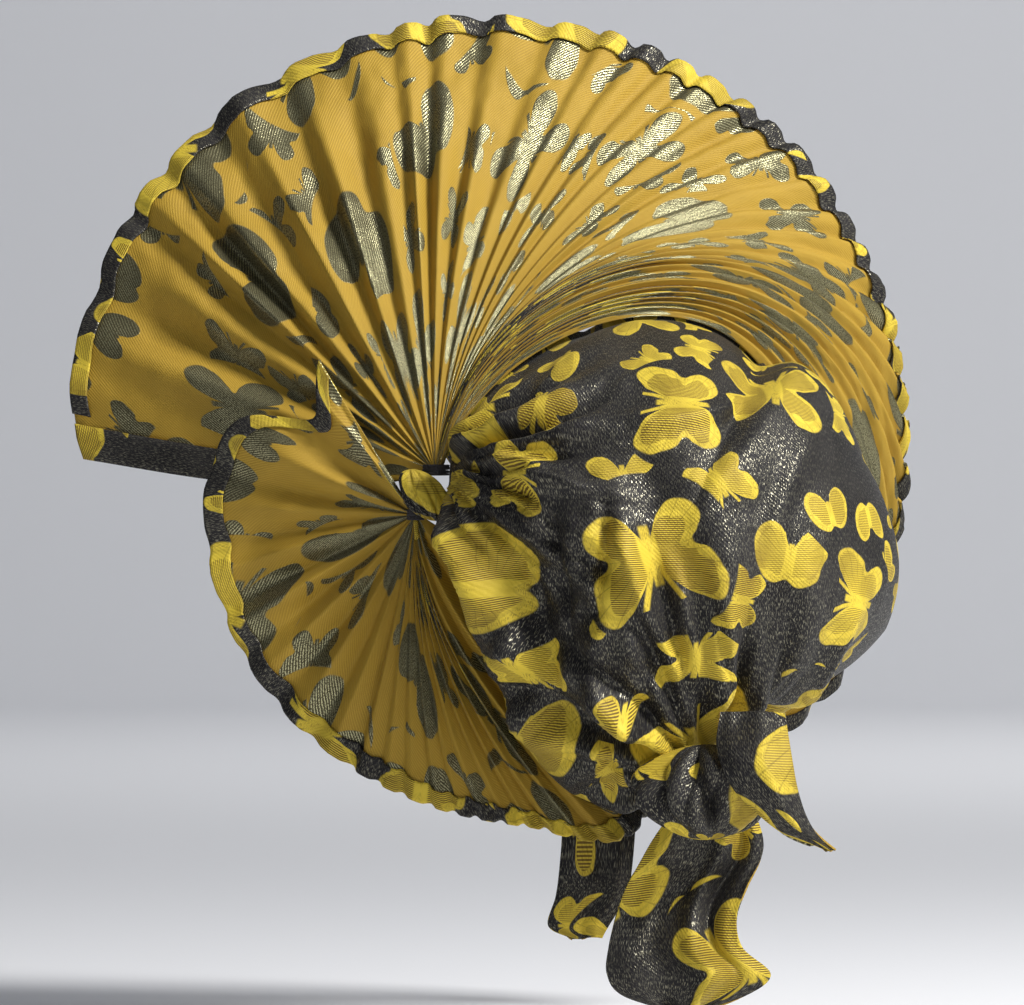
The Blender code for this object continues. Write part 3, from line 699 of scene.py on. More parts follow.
@dataclass
class PleatedFan:
    """A fan of pleats that leaves a gather and ends in a turned-over hem.

    Attributes:
        name: The fan's name.
        size: What the tables' shares are of.
        lines: One row for each drawn pleat line.
        folds: Angles at which a fold stands up.
        ends: Angles of the first line, the last line and the first line that may fold.
        centre: Centre of the rim, in shares.
        throat: The gather's middle, in shares.
        throat_radius: The gather's radius, in shares.
        fold_depth: The most that a fold stands up or down.
        steepness: The most that it stands up for each metre to the next one.
        per_fold: Columns of faces from one fold to the next.
        rows: Rows of faces from the gather to the rim.
        seed: Chooses the small irregularities.
        rim_calm: Share of the folds' depth that is left at the rim.
        ease: Where the folds start to lie down, in shares of their length: right, top and left.
        gather_back: How far behind its thread the gather closes.
        gather_pinch: Share of the throat's radius to which it closes.
        hem_width: Width of the turned-over edge.
        bay: How far the rim draws in between two folds, as a share.
        hollow_at: Where a fold may have its hollow, as shares of the way to the next.
        uneven: The least and the most of a fold's own depth.
        fullness: Length of cloth for each length of rim.
        crumple: Heights of the wide and of the fine crumpling.
        grid: The folded cloth, worked out by shape.
        way: The way that its back faces at each point.
        flat: The places on the flat cloth.
        plan: The unfolded surface, in the plane of the brim.
    """

    name: str
    size: float
    lines: Table
    folds: list[float]
    ends: Place
    centre: Pair
    throat: Place
    throat_radius: float
    fold_depth: float
    steepness: float
    per_fold: int
    rows: int
    seed: int
    rim_calm: float = 0.45
    ease: Place = (0.55, 0.55, 0.55)
    gather_back: float = 0.0055
    gather_pinch: float = 0.30
    hem_width: float = 0.0095
    bay: float = 0.012
    hollow_at: Pair = (0.52, 0.72)
    uneven: Pair = (0.60, 1.20)
    fullness: float = 1.18
    crumple: Pair = (0.0011, 0.0003)
    grid: Grid = field(init=False)
    way: Grid = field(init=False)
    flat: Grid = field(init=False)
    plan: Grid = field(init=False)

    def columns(self) -> tuple[Grid, Grid, Grid]:
        """The angle, the fold's stand and the fold's depth share of each column."""
        source = np.random.default_rng(self.seed)
        crests = np.array(sorted(self.folds, reverse=self.ends[0] > self.ends[1]), dtype=float)
        start = [self.ends[0], self.ends[2]]
        angles = [np.linspace(start[0], start[1], 6)[:-1], np.linspace(start[1], crests[0], 10)[:-1]]
        stand = [np.zeros(5), np.linspace(0, 1, 10)[:-1] ** 1.5]
        depth = [np.ones(5), np.ones(9)]
        for here, after in zip(crests[:-1], crests[1:]):
            share = np.arange(self.per_fold) / self.per_fold
            hollow = source.uniform(*self.hollow_at)
            fall = np.where(share < hollow, share / hollow, (1 - share) / (1 - hollow))
            eased = 0.72 * fall + 0.28 * fall * fall * (3 - 2 * fall)
            angles.append(here + (after - here) * share)
            stand.append(1 - 2 * eased)
            depth.append(np.full(self.per_fold, source.uniform(*self.uneven)))
        angles.append(np.linspace(crests[-1], self.ends[1], 6))
        stand.append(np.linspace(1, 0, 6))
        depth.append(np.ones(6))
        return np.concatenate(angles), np.concatenate(stand), np.concatenate(depth)

    def shape(self) -> None:
        """Works out the folded grid, the way its back faces and its places on the flat cloth."""
        angles, stand, depth = self.columns()
        values = between(self.lines, angles)
        reach, leave, rise_x, rise_z, rise_y, turn_x, turn_z, turn_y, rim_y = values.T
        hollow = smooth_step(-stand, -0.2, 1.0)
        reach = reach * (1 - self.bay * hollow)
        leave = np.radians(leave)
        turn = np.radians(angles)
        pinched = self.throat_radius * self.gather_pinch
        start = np.stack([
            self.throat[0] + pinched * np.cos(leave),
            self.throat[1] + pinched * np.sin(leave),
            np.full_like(leave, self.throat[2] - self.gather_back / self.size),
        ], axis=-1)
        rise = np.stack([rise_x, rise_z, rise_y], axis=-1)
        bend = np.stack([turn_x, turn_z, turn_y], axis=-1)
        rim = np.stack([
            self.centre[0] + reach * np.cos(turn), self.centre[1] + reach * np.sin(turn), rim_y,
        ], axis=-1)
        share = np.linspace(0, 1, 121)[None, :, None]
        line = (1 - share) ** 3 * start[:, None] + 3 * (1 - share) ** 2 * share * rise[:, None]
        line = (line + 3 * (1 - share) * share**2 * bend[:, None] + share**3 * rim[:, None]) * self.size
        step = np.linalg.norm(np.diff(line, axis=1), axis=2)
        length = np.concatenate([np.zeros((len(line), 1)), np.cumsum(step, axis=1)], axis=1)
        along = np.linspace(0, 1, self.rows + 1) ** 0.9
        grid = np.empty((self.rows + 1, len(angles), 3))
        for index in range(len(angles)):
            stops = along * length[index, -1]
            for axis in range(3):
                grid[:, index, axis] = np.interp(stops, length[index], line[index, :, axis])
        beside = np.linalg.norm(np.gradient(grid[:, :, :2], axis=1), axis=2)
        per_angle = beside / np.abs(np.gradient(angles))
        crests = np.array(sorted(self.folds, reverse=self.ends[0] > self.ends[1]), dtype=float)
        half = np.interp(
            np.abs(angles - crests[0]), np.abs(crests[:-1] - crests[0]), np.abs(np.diff(crests)) / 2
        )
        near = per_angle * half
        self.plan = grid
        smooth = place(grid[..., 0], grid[..., 1], grid[..., 2])
        square = square_to(smooth, TOWARD)
        weight = along[:, None, None]
        way = (1 - weight) * TOWARD + weight * square
        way /= np.linalg.norm(way, axis=-1, keepdims=True)
        ease = np.interp(angles, [0, 60, 130], self.ease)[None, :]
        calm = 1 - (1 - self.rim_calm) * smooth_step(along[:, None] - ease, 0.0, 0.4)
        depth = 1 + (depth - 1) * smooth_step(along, 0.2, 0.6)[:, None]
        lift = stand * depth * calm * np.minimum(self.fold_depth, self.steepness * near)
        rim_edge = np.linalg.norm(np.diff(smooth[-1], axis=0), axis=1)
        run = np.concatenate([[0.0], np.cumsum(rim_edge)]) * self.fullness
        down = length[:, -1][None, :] - along[:, None] * length[:, -1][None, :]
        self.flat = np.stack([np.broadcast_to(run, down.shape), down], axis=-1)
        wide = ripples(self.flat[..., 0], self.flat[..., 1], 0.045, self.seed)
        fine = ripples(self.flat[..., 0], self.flat[..., 1], 0.016, self.seed + 1)
        loose = smooth_step(np.minimum(near, 0.012), 0.001, 0.012)
        lift = lift + (self.crumple[0] * wide + self.crumple[1] * fine) * loose
        self.grid = smooth + way * lift[..., None]
        self.way = way

    def build(self, wardrobe: Wardrobe) -> bpy.types.Object:
        """Builds the fan's cloth, gold side back."""
        sides = wardrobe.slots(Side.REVERSE)
        piece = add_sheet(f"{self.name}_cloth", self.grid, self.flat, self.way, sides)
        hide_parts(self.name)
        report(piece)
        return piece

    def build_hem(
        self, wardrobe: Wardrobe, node: str, first: int = 0, last: int | None = None,
    ) -> bpy.types.Object:
        """Turns the cloth's edge over along the rim, dark side out.

        Args:
            wardrobe: The finishes.
            node: The solid that the hem stands for.
            first: The first column that it covers.
            last: The column that it stops before.

        Returns:
            The hem.
        """
        grid = self.grid[:, first:last]
        way = self.way[:, first:last]
        flat = self.flat[:, first:last]
        out = grid[-1] - grid[-4]
        out /= np.linalg.norm(out, axis=-1, keepdims=True)
        along = flat[-1, :, 0]
        width = self.hem_width * (1 + 0.10 * ripples(along, 0 * along, 0.05, self.seed + 3))
        rows = []
        spots = []
        for share, lift in HEM_STEPS:
            back = (1 - share) * width
            row = np.empty_like(grid[-1])
            for index in range(grid.shape[1]):
                for axis in range(3):
                    row[index, axis] = np.interp(-back[index], -flat[:, index, 1], grid[:, index, axis])
            rows.append(row + way[-1] * lift)
            spots.append(np.stack([along, -back], axis=-1))
        for turn in np.linspace(0.15, 1.0, 5) * math.pi:
            rise = 0.0018 * math.cos(turn) - 0.0002
            rows.append(grid[-1] + out * 0.00104 * math.sin(turn) + way[-1] * rise)
            spots.append(np.stack([along, np.full(len(out), 0.0012 * turn)], axis=-1))
        points = np.stack(rows)
        places = np.stack(spots)
        sides = wardrobe.slots(Side.FACE)
        piece = add_sheet(f"{node}_cloth", points, places, way[-1][None], sides, HEM_CLOTH)
        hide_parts(node)
        report(piece)
        return piece


# The cap every 22.5 degrees from the wearer's right, in shares of its radius: the outline and its
# place toward, the edge and its place toward
CAP_SECTIONS = [
    (1.00, 0.20, 0.60, -0.50),
    (0.93, 0.18, 0.70, -0.40),
    (0.98, 0.14, 0.84, -0.22),
    (0.975, 0.04, 0.96, -0.08),
    (1.00, 0.00, 0.98, -0.08),
    (0.985, 0.08, 0.96, 0.02),
    (1.05, 0.26, 1.04, 0.20),
    (1.05, 0.46, 1.00, 0.38),
    (0.94, 0.60, 0.86, 0.42),
    (0.88, 0.66, 0.74, 0.46),
    (1.02, 0.66, 0.80, 0.48),
    (1.19, 0.66, 0.96, 0.54),
    (1.15, 0.64, 1.02, 0.54),
    (0.92, 0.48, 0.82, 0.26),
    (0.91, 0.32, 0.72, -0.08),
    (1.03, 0.22, 0.62, -0.36),
]
# Folds of the cap about its middle: a start, a bend and an end (across, up), a half width, a height
# and a lean
CAP_FOLDS = [
    (-0.86, 0.16, -0.92, -0.35, -0.60, -0.84, 0.17, 0.15, 0.3),
    (-0.62, 0.02, -0.64, -0.50, -0.40, -0.86, 0.13, -0.14, 0.0),
    (-0.80, 0.36, -0.46, 0.20, -0.40, -0.40, 0.12, 0.08, 0.4),
    (-0.36, 0.30, -0.16, 0.00, -0.20, -0.60, 0.12, 0.08, -0.4),
    (-0.36, -0.30, -0.34, -0.70, -0.06, -1.00, 0.13, 0.10, 0.4),
    (-0.10, -0.10, -0.10, -0.60, 0.12, -0.92, 0.12, -0.09, 0.0),
    (0.16, -0.10, 0.16, -0.60, 0.22, -0.90, 0.12, 0.07, -0.3),
    (0.66, -0.10, 0.52, -0.62, 0.28, -0.90, 0.13, 0.07, 0.3),
]
# Sharper creases between them, with the same columns, and how far their heights are drawn up
CREASE_RISE = 1.9
CAP_CREASES = [
    (-0.96, 0.26, -0.84, 0.02, -0.74, -0.30, 0.045, 0.045, 0.6),
    (-0.94, 0.22, -0.72, 0.02, -0.56, -0.34, 0.040, -0.050, 0.0),
    (-0.90, 0.30, -0.60, 0.22, -0.46, 0.02, 0.040, -0.045, 0.0),
    (-0.86, 0.36, -0.52, 0.34, -0.30, 0.14, 0.045, 0.030, -0.5),
    (-0.52, 0.10, -0.50, -0.16, -0.46, -0.44, 0.050, -0.065, 0.0),
    (-0.30, 0.20, -0.28, -0.12, -0.36, -0.42, 0.040, -0.055, 0.0),
    (-0.24, 0.02, -0.12, -0.30, 0.00, -0.62, 0.042, 0.045, 0.6),
    (-0.14, 0.10, -0.02, -0.34, 0.10, -0.80, 0.045, -0.045, 0.0),
    (0.00, -0.12, 0.10, -0.44, 0.16, -0.86, 0.040, 0.035, -0.6),
    (0.10, -0.10, 0.22, -0.44, 0.20, -0.86, 0.042, -0.040, 0.0),
    (0.34, -0.14, 0.38, -0.50, 0.24, -0.88, 0.045, 0.035, 0.5),
    (0.52, -0.22, 0.46, -0.58, 0.26, -0.90, 0.045, -0.040, 0.0),
    (0.80, -0.26, 0.62, -0.66, 0.32, -0.92, 0.045, 0.030, 0.5),
    (-0.66, -0.10, -0.70, -0.40, -0.58, -0.66, 0.040, 0.040, -0.6),
    (-0.50, -0.46, -0.30, -0.56, -0.10, -0.80, 0.045, -0.050, 0.0),
    (-0.54, -0.66, -0.30, -0.72, -0.06, -0.88, 0.042, 0.040, 0.6),
    (-0.50, -0.80, -0.26, -0.86, 0.00, -0.94, 0.040, -0.040, 0.0),
    (0.14, -0.72, 0.36, -0.80, 0.54, -0.70, 0.040, -0.070, 0.0),
    (0.30, 0.62, 0.10, 0.50, -0.22, 0.52, 0.035, 0.014, 0.0),
    (0.62, 0.52, 0.44, 0.20, 0.40, -0.10, 0.050, 0.014, 0.4),
    (-0.20, 0.72, -0.34, 0.50, -0.60, 0.42, 0.040, 0.022, 0.5),
]
# Where the cap is gathered, in the same shares: folds in a full turn, how far they run, their seed
# and their height
CAP_GATHERS = [
    ((0.12, -1.06), 18, 0.90, 3, 0.0080),
    ((-1.04, 0.32), 20, 0.85, 5, 0.0075),
]


@dataclass
class DrapedCap:
    """The dark cloth draped over the head, ruched at its left and towards the nape knot.

    Attributes:
        radius: What the tables' shares are of.
        depth: How far its crown stands toward.
        middle: Its middle, across and up.
        front: Share of the cloth that lies on the back of the cap.
        tuck: How far the cap may pass the brim's inner line before it comes out from behind it.
        tuck_start: The angles over which the tuck sets in, on the right.
        tuck_end: The angles over which it ends, at the gather.
        hollow: The deepest that a fold sinks.
        knot: The nape knot's place on it, in shares.
        knot_reach: How far round the knot its folds lie flatter, in shares.
        knot_calm: The share of them that goes there.
        under_reach: How far the tucked cloth runs on behind the brim.
        under_drop: How far behind the brim it lies.
        edge_gap: Its gap from the brim's inner line.
        cells: Faces from side to side.
    """

    radius: float = 0.112
    depth: float = 0.132
    middle: Pair = (0.035, -0.1075)
    front: float = 0.74
    tuck: float = 0.011
    tuck_start: Pair = (0.85, 1.15)
    tuck_end: Pair = (2.87, 3.02)
    hollow: float = 0.012
    knot: Pair = (0.10, -1.00)
    knot_reach: float = 0.26
    knot_calm: float = 0.95
    under_reach: float = 0.007
    under_drop: float = 0.009
    edge_gap: float = 0.0018
    cells: int = 200

    def section(self, turn: Grid) -> Grid:
        """The outline and the edge at an angle about the middle, as four shares of the radius."""
        rows = np.array(CAP_SECTIONS)
        spot = (turn / (FULL_TURN) * len(rows)) % len(rows)
        low = np.floor(spot).astype(int)
        share = (spot - low)[..., None]
        before, here, after, beyond = (rows[(low + shift) % len(rows)] for shift in (-1, 0, 1, 2))
        straight = here + (after - here) * share
        return straight + share * (share - 1) * (before - here + beyond - after) / 4

    def shape(self, turn: Grid, far: Grid, brim: PleatedFan) -> Grid:
        """The cap's smooth form, in the plane of the brim.

        Args:
            turn: Angles about the middle.
            far: Shares of the way from the middle to the cloth's edge.
            brim: The fan whose last pleat line the cap tucks behind.

        Returns:
            Across, up and toward of each point.
        """
        line = brim.plan[:, -1] - np.array([*self.middle, 0.0])
        known = np.mod(np.arctan2(line[:, 1], line[:, 0]), FULL_TURN)
        order = np.argsort(known)
        reach = np.linalg.norm(line[:, :2], axis=1)[order] - self.edge_gap
        outline, outline_y, edge, edge_y = np.moveaxis(self.section(turn) * self.radius, -1, 0)
        angle = np.mod(turn, FULL_TURN)
        free = np.interp(angle, known[order], reach, period=FULL_TURN)
        edge = np.minimum(edge, free)
        near = smooth_step(angle, *self.tuck_start) * (1 - smooth_step(angle, *self.tuck_end))
        over = np.maximum(outline - free, 0)
        clear = 1 - (1 - smooth_step(over, self.tuck, 2 * self.tuck)) * near
        under_line = np.interp(angle, known[order], line[order, 2], period=FULL_TURN)
        hidden = smooth_step(outline - free, -0.004, 0.001) * (1 - clear)
        outline = np.minimum(outline, free) + over * clear
        edge = edge + hidden * (free + self.under_reach - edge)
        edge_y = edge_y + hidden * (np.minimum(edge_y, under_line - self.under_drop) - edge_y)
        outline_y = outline_y + hidden * (np.minimum(outline_y, under_line - 0.001) - outline_y)
        rise = np.clip(far / self.front, 0, 1) * math.pi / 2
        radius = outline * np.sin(rise)
        toward = outline_y + (self.depth - outline_y) * np.cos(rise)
        back = np.clip((far - self.front) / (1 - self.front), 0, 1)
        radius = radius + (edge - outline) * smooth_step(back, 0, 1)
        toward = toward + (edge_y - outline_y) * back
        return np.stack([
            self.middle[0] + radius * np.cos(turn), self.middle[1] + radius * np.sin(turn), toward,
        ], axis=-1)

    def fold_height(self, spots: Grid, table: Table) -> Grid:
        """How far a table's folds lift each point.

        Args:
            spots: Places about the middle, in shares of the radius.
            table: The folds.

        Returns:
            Lifts in metres.
        """
        lift = np.zeros(spots.shape[:-1])
        share = np.linspace(0, 1, 33)[:, None]
        for start_x, start_z, bend_x, bend_z, end_x, end_z, half_width, height, lean in table:
            start = np.array([start_x, start_z])
            bend = np.array([bend_x, bend_z])
            end = np.array([end_x, end_z])
            line = (1 - share) ** 2 * start + 2 * (1 - share) * share * bend + share**2 * end
            tangent = np.gradient(line, axis=0)
            away = spots[..., None, :] - line
            distance = np.linalg.norm(away, axis=-1)
            nearest = np.argmin(distance, axis=-1)
            beside = np.take_along_axis(away, nearest[..., None, None], axis=-2)[..., 0, :]
            run = tangent[nearest]
            hand = np.sign(run[..., 0] * beside[..., 1] - run[..., 1] * beside[..., 0])
            width = half_width * (1 + 0.55 * lean * hand)
            taper = np.sin(math.pi * np.clip(nearest / 32 * 0.9 + 0.07, 0, 1))
            away = np.min(distance, axis=-1) / width
            profile = np.exp(-(away**2)) if height > 0 else 1.15 * np.exp(-1.6 * np.sqrt(away**2 + 0.01))
            lift += height * taper * profile
        return lift * self.radius

    def gathers(self, spots: Grid, centre: Pair, count: int, reach: float, seed: int) -> Grid:
        """Small folds that run out from a gather.

        Args:
            spots: Places about the middle, in shares of the radius.
            centre: The gather.
            count: Folds in a full turn.
            reach: How far they run, in shares of the radius.
            seed: Chooses them.

        Returns:
            Heights of about -1 to 1.
        """
        source = np.random.default_rng(seed)
        away = spots - np.array(centre)
        distance = np.linalg.norm(away, axis=-1)
        turn = np.arctan2(away[..., 1], away[..., 0])
        wave = np.zeros(turn.shape)
        for part in range(4):
            pace = count + round(source.uniform(-0.35, 0.35) * count)
            bend = source.uniform(-1.2, 1.2)
            start = source.uniform(0, FULL_TURN)
            wave += np.abs(np.sin((pace * turn + start + bend * distance * 3) / 2)) - 0.64
        fade = np.exp(-((distance / reach) ** 2)) * smooth_step(distance, 0.02, 0.18)
        return wave / 0.9 * fade

    def build(self, wardrobe: Wardrobe, brim: PleatedFan) -> bpy.types.Object:
        """Builds the cap with its folds and wrinkles, open towards the face and the neck."""
        steps = np.linspace(-1, 1, self.cells + 1)
        across, down = np.meshgrid(steps, steps)
        far = np.maximum(np.abs(across), np.abs(down))
        wide = np.abs(across) >= np.abs(down)
        lead = np.where(wide, across, down)
        lag = np.where(wide, down, across)
        swing = np.where(lead == 0, 0, math.pi / 4 * lag / np.where(lead == 0, 1, lead))
        turn = np.where(wide, swing, math.pi / 2 - swing) + np.where(lead < 0, math.pi, 0)
        shape = self.shape(turn, far, brim)
        smooth = place(shape[..., 0], shape[..., 1], shape[..., 2])
        normal = np.cross(np.gradient(smooth, axis=1), np.gradient(smooth, axis=0))
        normal /= np.linalg.norm(normal, axis=-1, keepdims=True)
        spots = (shape[..., :2] - np.array(self.middle)) / self.radius
        calm = np.clip((0.73 - far) / 0.12, 0, 1)
        right, up = np.moveaxis(spots, -1, 0)
        lift = self.fold_height(spots, CAP_FOLDS) + CREASE_RISE * self.fold_height(spots, CAP_CREASES)
        for centre, count, reach, seed, height in CAP_GATHERS:
            lift += height * self.gathers(spots, centre, count, reach, seed)
        ruched = smooth_step(-(right + 0.9 * up), -0.15, 0.8)
        lift += ruched * 0.0024 * ripples(right * 1.6, up, 0.26, 21)
        lift += 0.0007 * ripples(right, up, 0.35, 22) + 0.0002 * ripples(right, up, 0.1, 23)
        from_knot = (spots - np.array(self.knot)) / self.knot_reach
        lift *= 1 - self.knot_calm * np.exp(-np.sum(from_knot**2, axis=-1))
        sunk = -self.hollow * np.tanh(-lift / self.hollow)
        lift = np.where(lift < 0, sunk, lift)
        outer = smooth + normal * (lift * calm)[..., None]
        spread = self.unrolled(turn, far, brim)
        flat = np.stack([spread * np.cos(turn), spread * np.sin(turn)], axis=-1)
        piece = add_sheet("cap_cloth", outer, flat, normal, wardrobe.slots(Side.FACE))
        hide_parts("cap")
        report(piece)
        return piece

    def unrolled(self, turn: Grid, far: Grid, brim: PleatedFan) -> Grid:
        """The length of cloth from the middle to each point, for its place on the flat cloth."""
        rays = np.linspace(0, FULL_TURN, 97)
        shares = np.linspace(0, 1, 81)
        ray, share = np.meshgrid(rays, shares, indexing="ij")
        path = self.shape(ray, share, brim)
        step = np.linalg.norm(np.diff(path, axis=1), axis=2)
        length = np.concatenate([np.zeros((len(rays), 1)), np.cumsum(step, axis=1)], axis=1)
        spot = np.mod(turn, FULL_TURN) / (FULL_TURN) * (len(rays) - 1)
        rung = far * (len(shares) - 1)
        left = np.minimum(np.floor(spot).astype(int), len(rays) - 2)
        low = np.minimum(np.floor(rung).astype(int), len(shares) - 2)
        over = spot - left
        up = rung - low
        below = length[left, low] * (1 - over) + length[left + 1, low] * over
        above = length[left, low + 1] * (1 - over) + length[left + 1, low + 1] * over
        return below * (1 - up) + above * up


def depth_of(node: str) -> float:
    """How far toward the middle of a CAD solid lies."""
    points = np.array([tuple(vertex.co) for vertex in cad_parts[node].data.vertices]) @ TOWARD
    return float((points.min() + points.max()) / 2)


@dataclass
class HangingCloth:
    """A strip or flap of cloth that hangs from the knot.

    Attributes:
        node: The solid that it stands for.
        top: Its top, across, up and toward.
        levels: Rows of a drop, its two sides, its depth and its belly.
        pleats: Lengthwise folds as a share of the width, a half width and a height.
        flat: Its cut width and length.
        start: The place of its top's middle on the flat cloth.
        dip: How far its top turns back towards the cap.
        drop: What the table's shares are of.
        steps: Points down and across.
        seed: Chooses the small irregularities.
    """

    node: str
    top: Place
    levels: Table
    pleats: list[Place]
    flat: Pair
    start: Pair
    dip: float = 0.0
    drop: float = 0.092
    steps: tuple[int, int] = (110, 90)
    seed: int = 1

    def build(self, wardrobe: Wardrobe) -> bpy.types.Object:
        """Builds the hanging cloth, dark side out."""
        keys = np.linspace(0, len(self.levels) - 1, self.steps[0])
        rows = between([(index, *row) for index, row in enumerate(self.levels)], keys)
        down, left, right, toward, belly = (rows * self.drop).T
        share = np.linspace(0, 1, self.steps[1])[None, :]
        lie = keys[:, None] / (len(self.levels) - 1)
        width = right - left
        wander = 0.02 * np.sin(5 * lie + self.seed)
        depth = self.top[2] + toward[:, None] + belly[:, None] * np.sin(math.pi * share)
        edge = np.sin(math.pi * share) ** 0.5
        for middle, half, height in self.pleats:
            off = (share - middle - wander) / half
            fall = 0.55 + 0.45 * np.cos(2.4 * lie + 7 * middle)
            depth = depth + height * np.exp(-(off**2)) * edge * fall
        flat_x = self.start[0] + (share - 0.5) * self.flat[0] + 0 * lie
        flat_y = self.start[1] - lie * self.flat[1] + 0 * share
        depth = depth + 0.0011 * ripples(flat_x, flat_y, 0.03, self.seed) * edge
        across = self.top[0] + left[:, None] + width[:, None] * share
        up = self.top[1] - down[:, None] + 0.0008 * ripples(flat_x, flat_y, 0.035, self.seed + 9)
        depth = depth + depth_of(self.node) - (depth.min() + depth.max() - CLOTH) / 2
        depth = depth - self.dip * (1 - smooth_step(lie, 0.0, 0.38))
        points = place(across, up, depth)
        flat = np.stack([flat_x, flat_y], axis=-1)
        piece = add_sheet(f"{self.node}_cloth", points, flat, TOWARD, wardrobe.slots(Side.FACE))
        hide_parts(self.node)
        report(piece)
        return piece


@dataclass
class GatheredLump:
    """Cloth gathered into a knot or a neck, creased from end to end.

    Attributes:
        node: The solid that it stands for.
        middle: Its middle, across, up and toward.
        half: Half its size each way.
        lean: How far it leans across and toward as it rises.
        creases: How many creases run along it.
        twist: How far they wind from end to end.
        depth: How deep they are, as a share.
        start: Its place on the flat cloth.
        steps: Points around and along.
        seed: Chooses the small irregularities.
    """

    node: str
    middle: Place
    half: Place
    lean: Pair
    creases: int
    twist: float
    depth: float
    start: Pair
    steps: tuple[int, int] = (240, 150)
    seed: int = 1

    def build(self, wardrobe: Wardrobe) -> bpy.types.Object:
        """Builds the lump from a sphere primitive, dark side out."""
        around, along = self.steps
        bpy.ops.object.select_all(action="DESELECT")
        bpy.ops.mesh.primitive_uv_sphere_add(segments=around, ring_count=along, radius=1)
        piece = bpy.context.active_object
        piece.name = f"{self.node}_cloth"
        mesh = piece.data
        rest = values_of(mesh.vertices, "co", 3)
        turn = np.arctan2(rest[:, 1], rest[:, 0])
        dip = np.arccos(np.clip(rest[:, 2], -1, 1))
        wander = self.twist * dip + 0.35 * np.sin(2 * turn + self.seed) + 0.2 * np.sin(3 * dip + self.seed)
        wave = np.abs(np.sin((self.creases * turn + wander) / 2))
        fine = np.abs(np.sin((2.0 * self.creases * turn - 0.6 * wander) / 2 + self.seed))
        girth = 1 + self.depth * (1.3 * wave - 1.0) + 0.4 * self.depth * (1.3 * fine - 1.0)
        girth += 0.5 * self.depth * np.sin(3 * turn + 2.4 * dip + self.seed) * np.sin(dip)
        body = np.sin(dip) * girth
        local = np.stack([body * np.cos(turn), np.cos(dip), body * np.sin(turn)], axis=-1)
        local *= np.array(self.half)
        local[:, 0] += self.lean[0] * local[:, 1]
        local[:, 2] += self.lean[1] * local[:, 1]
        local += np.array(self.middle)
        local[:, 2] += depth_of(self.node) - (local[:, 2].min() + local[:, 2].max()) / 2
        points = place(local[:, 0], local[:, 1], local[:, 2])
        mesh.vertices.foreach_set("co", points.ravel())
        layer = mesh.uv_layers.active
        layer.name = "flat_cloth"
        spots = values_of(layer.data, "uv", 2)
        girdle = FULL_TURN * (self.half[0] + self.half[2]) / 2
        run = math.pi * self.half[1] * 1.15
        layer.data.foreach_set("uv", (spots * np.array([girdle, run]) + np.array(self.start)).ravel())
        mesh.update()
        only(piece)
        edit_all(bpy.ops.mesh.normals_make_consistent, inside=False)
        bpy.ops.object.shade_smooth()
        mesh.materials.append(wardrobe.face)
        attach(piece, "root")
        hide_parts(self.node)
        report(piece)
        return piece


@dataclass
class ThreadWinding:
    """Turns of thread bound tightly round a gather.

    Attributes:
        node: The solid that it stands for.
        middle: Its middle, across, up and toward.
        ring: Its radius across.
        turns: Turns of thread.
        half: Half its height.
    """

    node: str
    middle: Place
    ring: float
    turns: int = 6
    half: float = 0.0028

    def build(self, wardrobe: Wardrobe) -> bpy.types.Object:
        """Builds the turns from rings, joined into one piece."""
        source = np.random.default_rng(SEED)
        ply = self.half / self.turns * 1.12
        made = []
        for turn in range(self.turns):
            height = self.half * ((2 * turn + 1) / self.turns - 1) * 0.92
            centre = place(self.middle[0], self.middle[1] + height, self.middle[2])
            bpy.ops.mesh.primitive_torus_add(
                major_segments=56, minor_segments=10, major_radius=self.ring - ply, minor_radius=ply,
                location=tuple(centre),
                rotation=(source.uniform(-0.04, 0.04), source.uniform(-0.05, 0.05), BRIM_TURN),
            )
            bpy.context.active_object.scale = (1.0, 0.7, 1.0)
            bpy.ops.object.transform_apply(location=True, rotation=True, scale=True)
            made.append(bpy.context.active_object)
        bpy.ops.object.select_all(action="DESELECT")
        for ring in made:
            ring.select_set(True)
        bpy.context.view_layer.objects.active = made[0]
        bpy.ops.object.join()
        piece = bpy.context.active_object
        piece.name = f"{self.node}_thread"
        bpy.ops.object.shade_smooth()
        piece.data.materials.clear()
        piece.data.materials.append(wardrobe.thread)
        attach(piece, "root")
        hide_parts(self.node)
        report(piece)
        return piece


BRIM = PleatedFan(
    name="brim_fan", size=0.210, lines=BRIM_LINES, folds=BRIM_FOLDS, ends=(184, -56, 179),
    centre=(-0.26, -0.25), throat=(-0.388, -0.345, 0.240), throat_radius=0.036, fold_depth=0.0075,
    steepness=0.60, per_fold=11, rows=118, seed=SEED, rim_calm=0.24,
    ease=(0.34, 0.42, 0.60),
)
SIDE = PleatedFan(
    name="side_fan", size=0.104, lines=SIDE_LINES, folds=SIDE_FOLDS, ends=(122, 312, 125),
    centre=(-0.880, -0.909), throat=(-0.880, -0.909, 0.540), throat_radius=0.050, fold_depth=0.005,
    steepness=0.55, per_fold=14, rows=100, seed=SEED + 5, gather_back=0.0040,
)
FLAP = HangingCloth(
    node="nape_flap", top=(0.066, -0.190, 0.116),
    levels=[
        (0.00, -0.10, 0.24, 0.00, 0.00),
        (0.20, -0.12, 0.27, 0.02, 0.06),
        (0.42, -0.02, 0.31, 0.03, 0.07),
        (0.60, 0.18, 0.38, 0.02, 0.04),
        (0.72, 0.44, 0.50, 0.00, 0.00),
    ],
    pleats=[(0.18, 0.10, 0.0020), (0.62, 0.12, 0.0016)], flat=(0.036, 0.068), start=(0.41, 0.31), seed=4,
    dip=0.011,
)
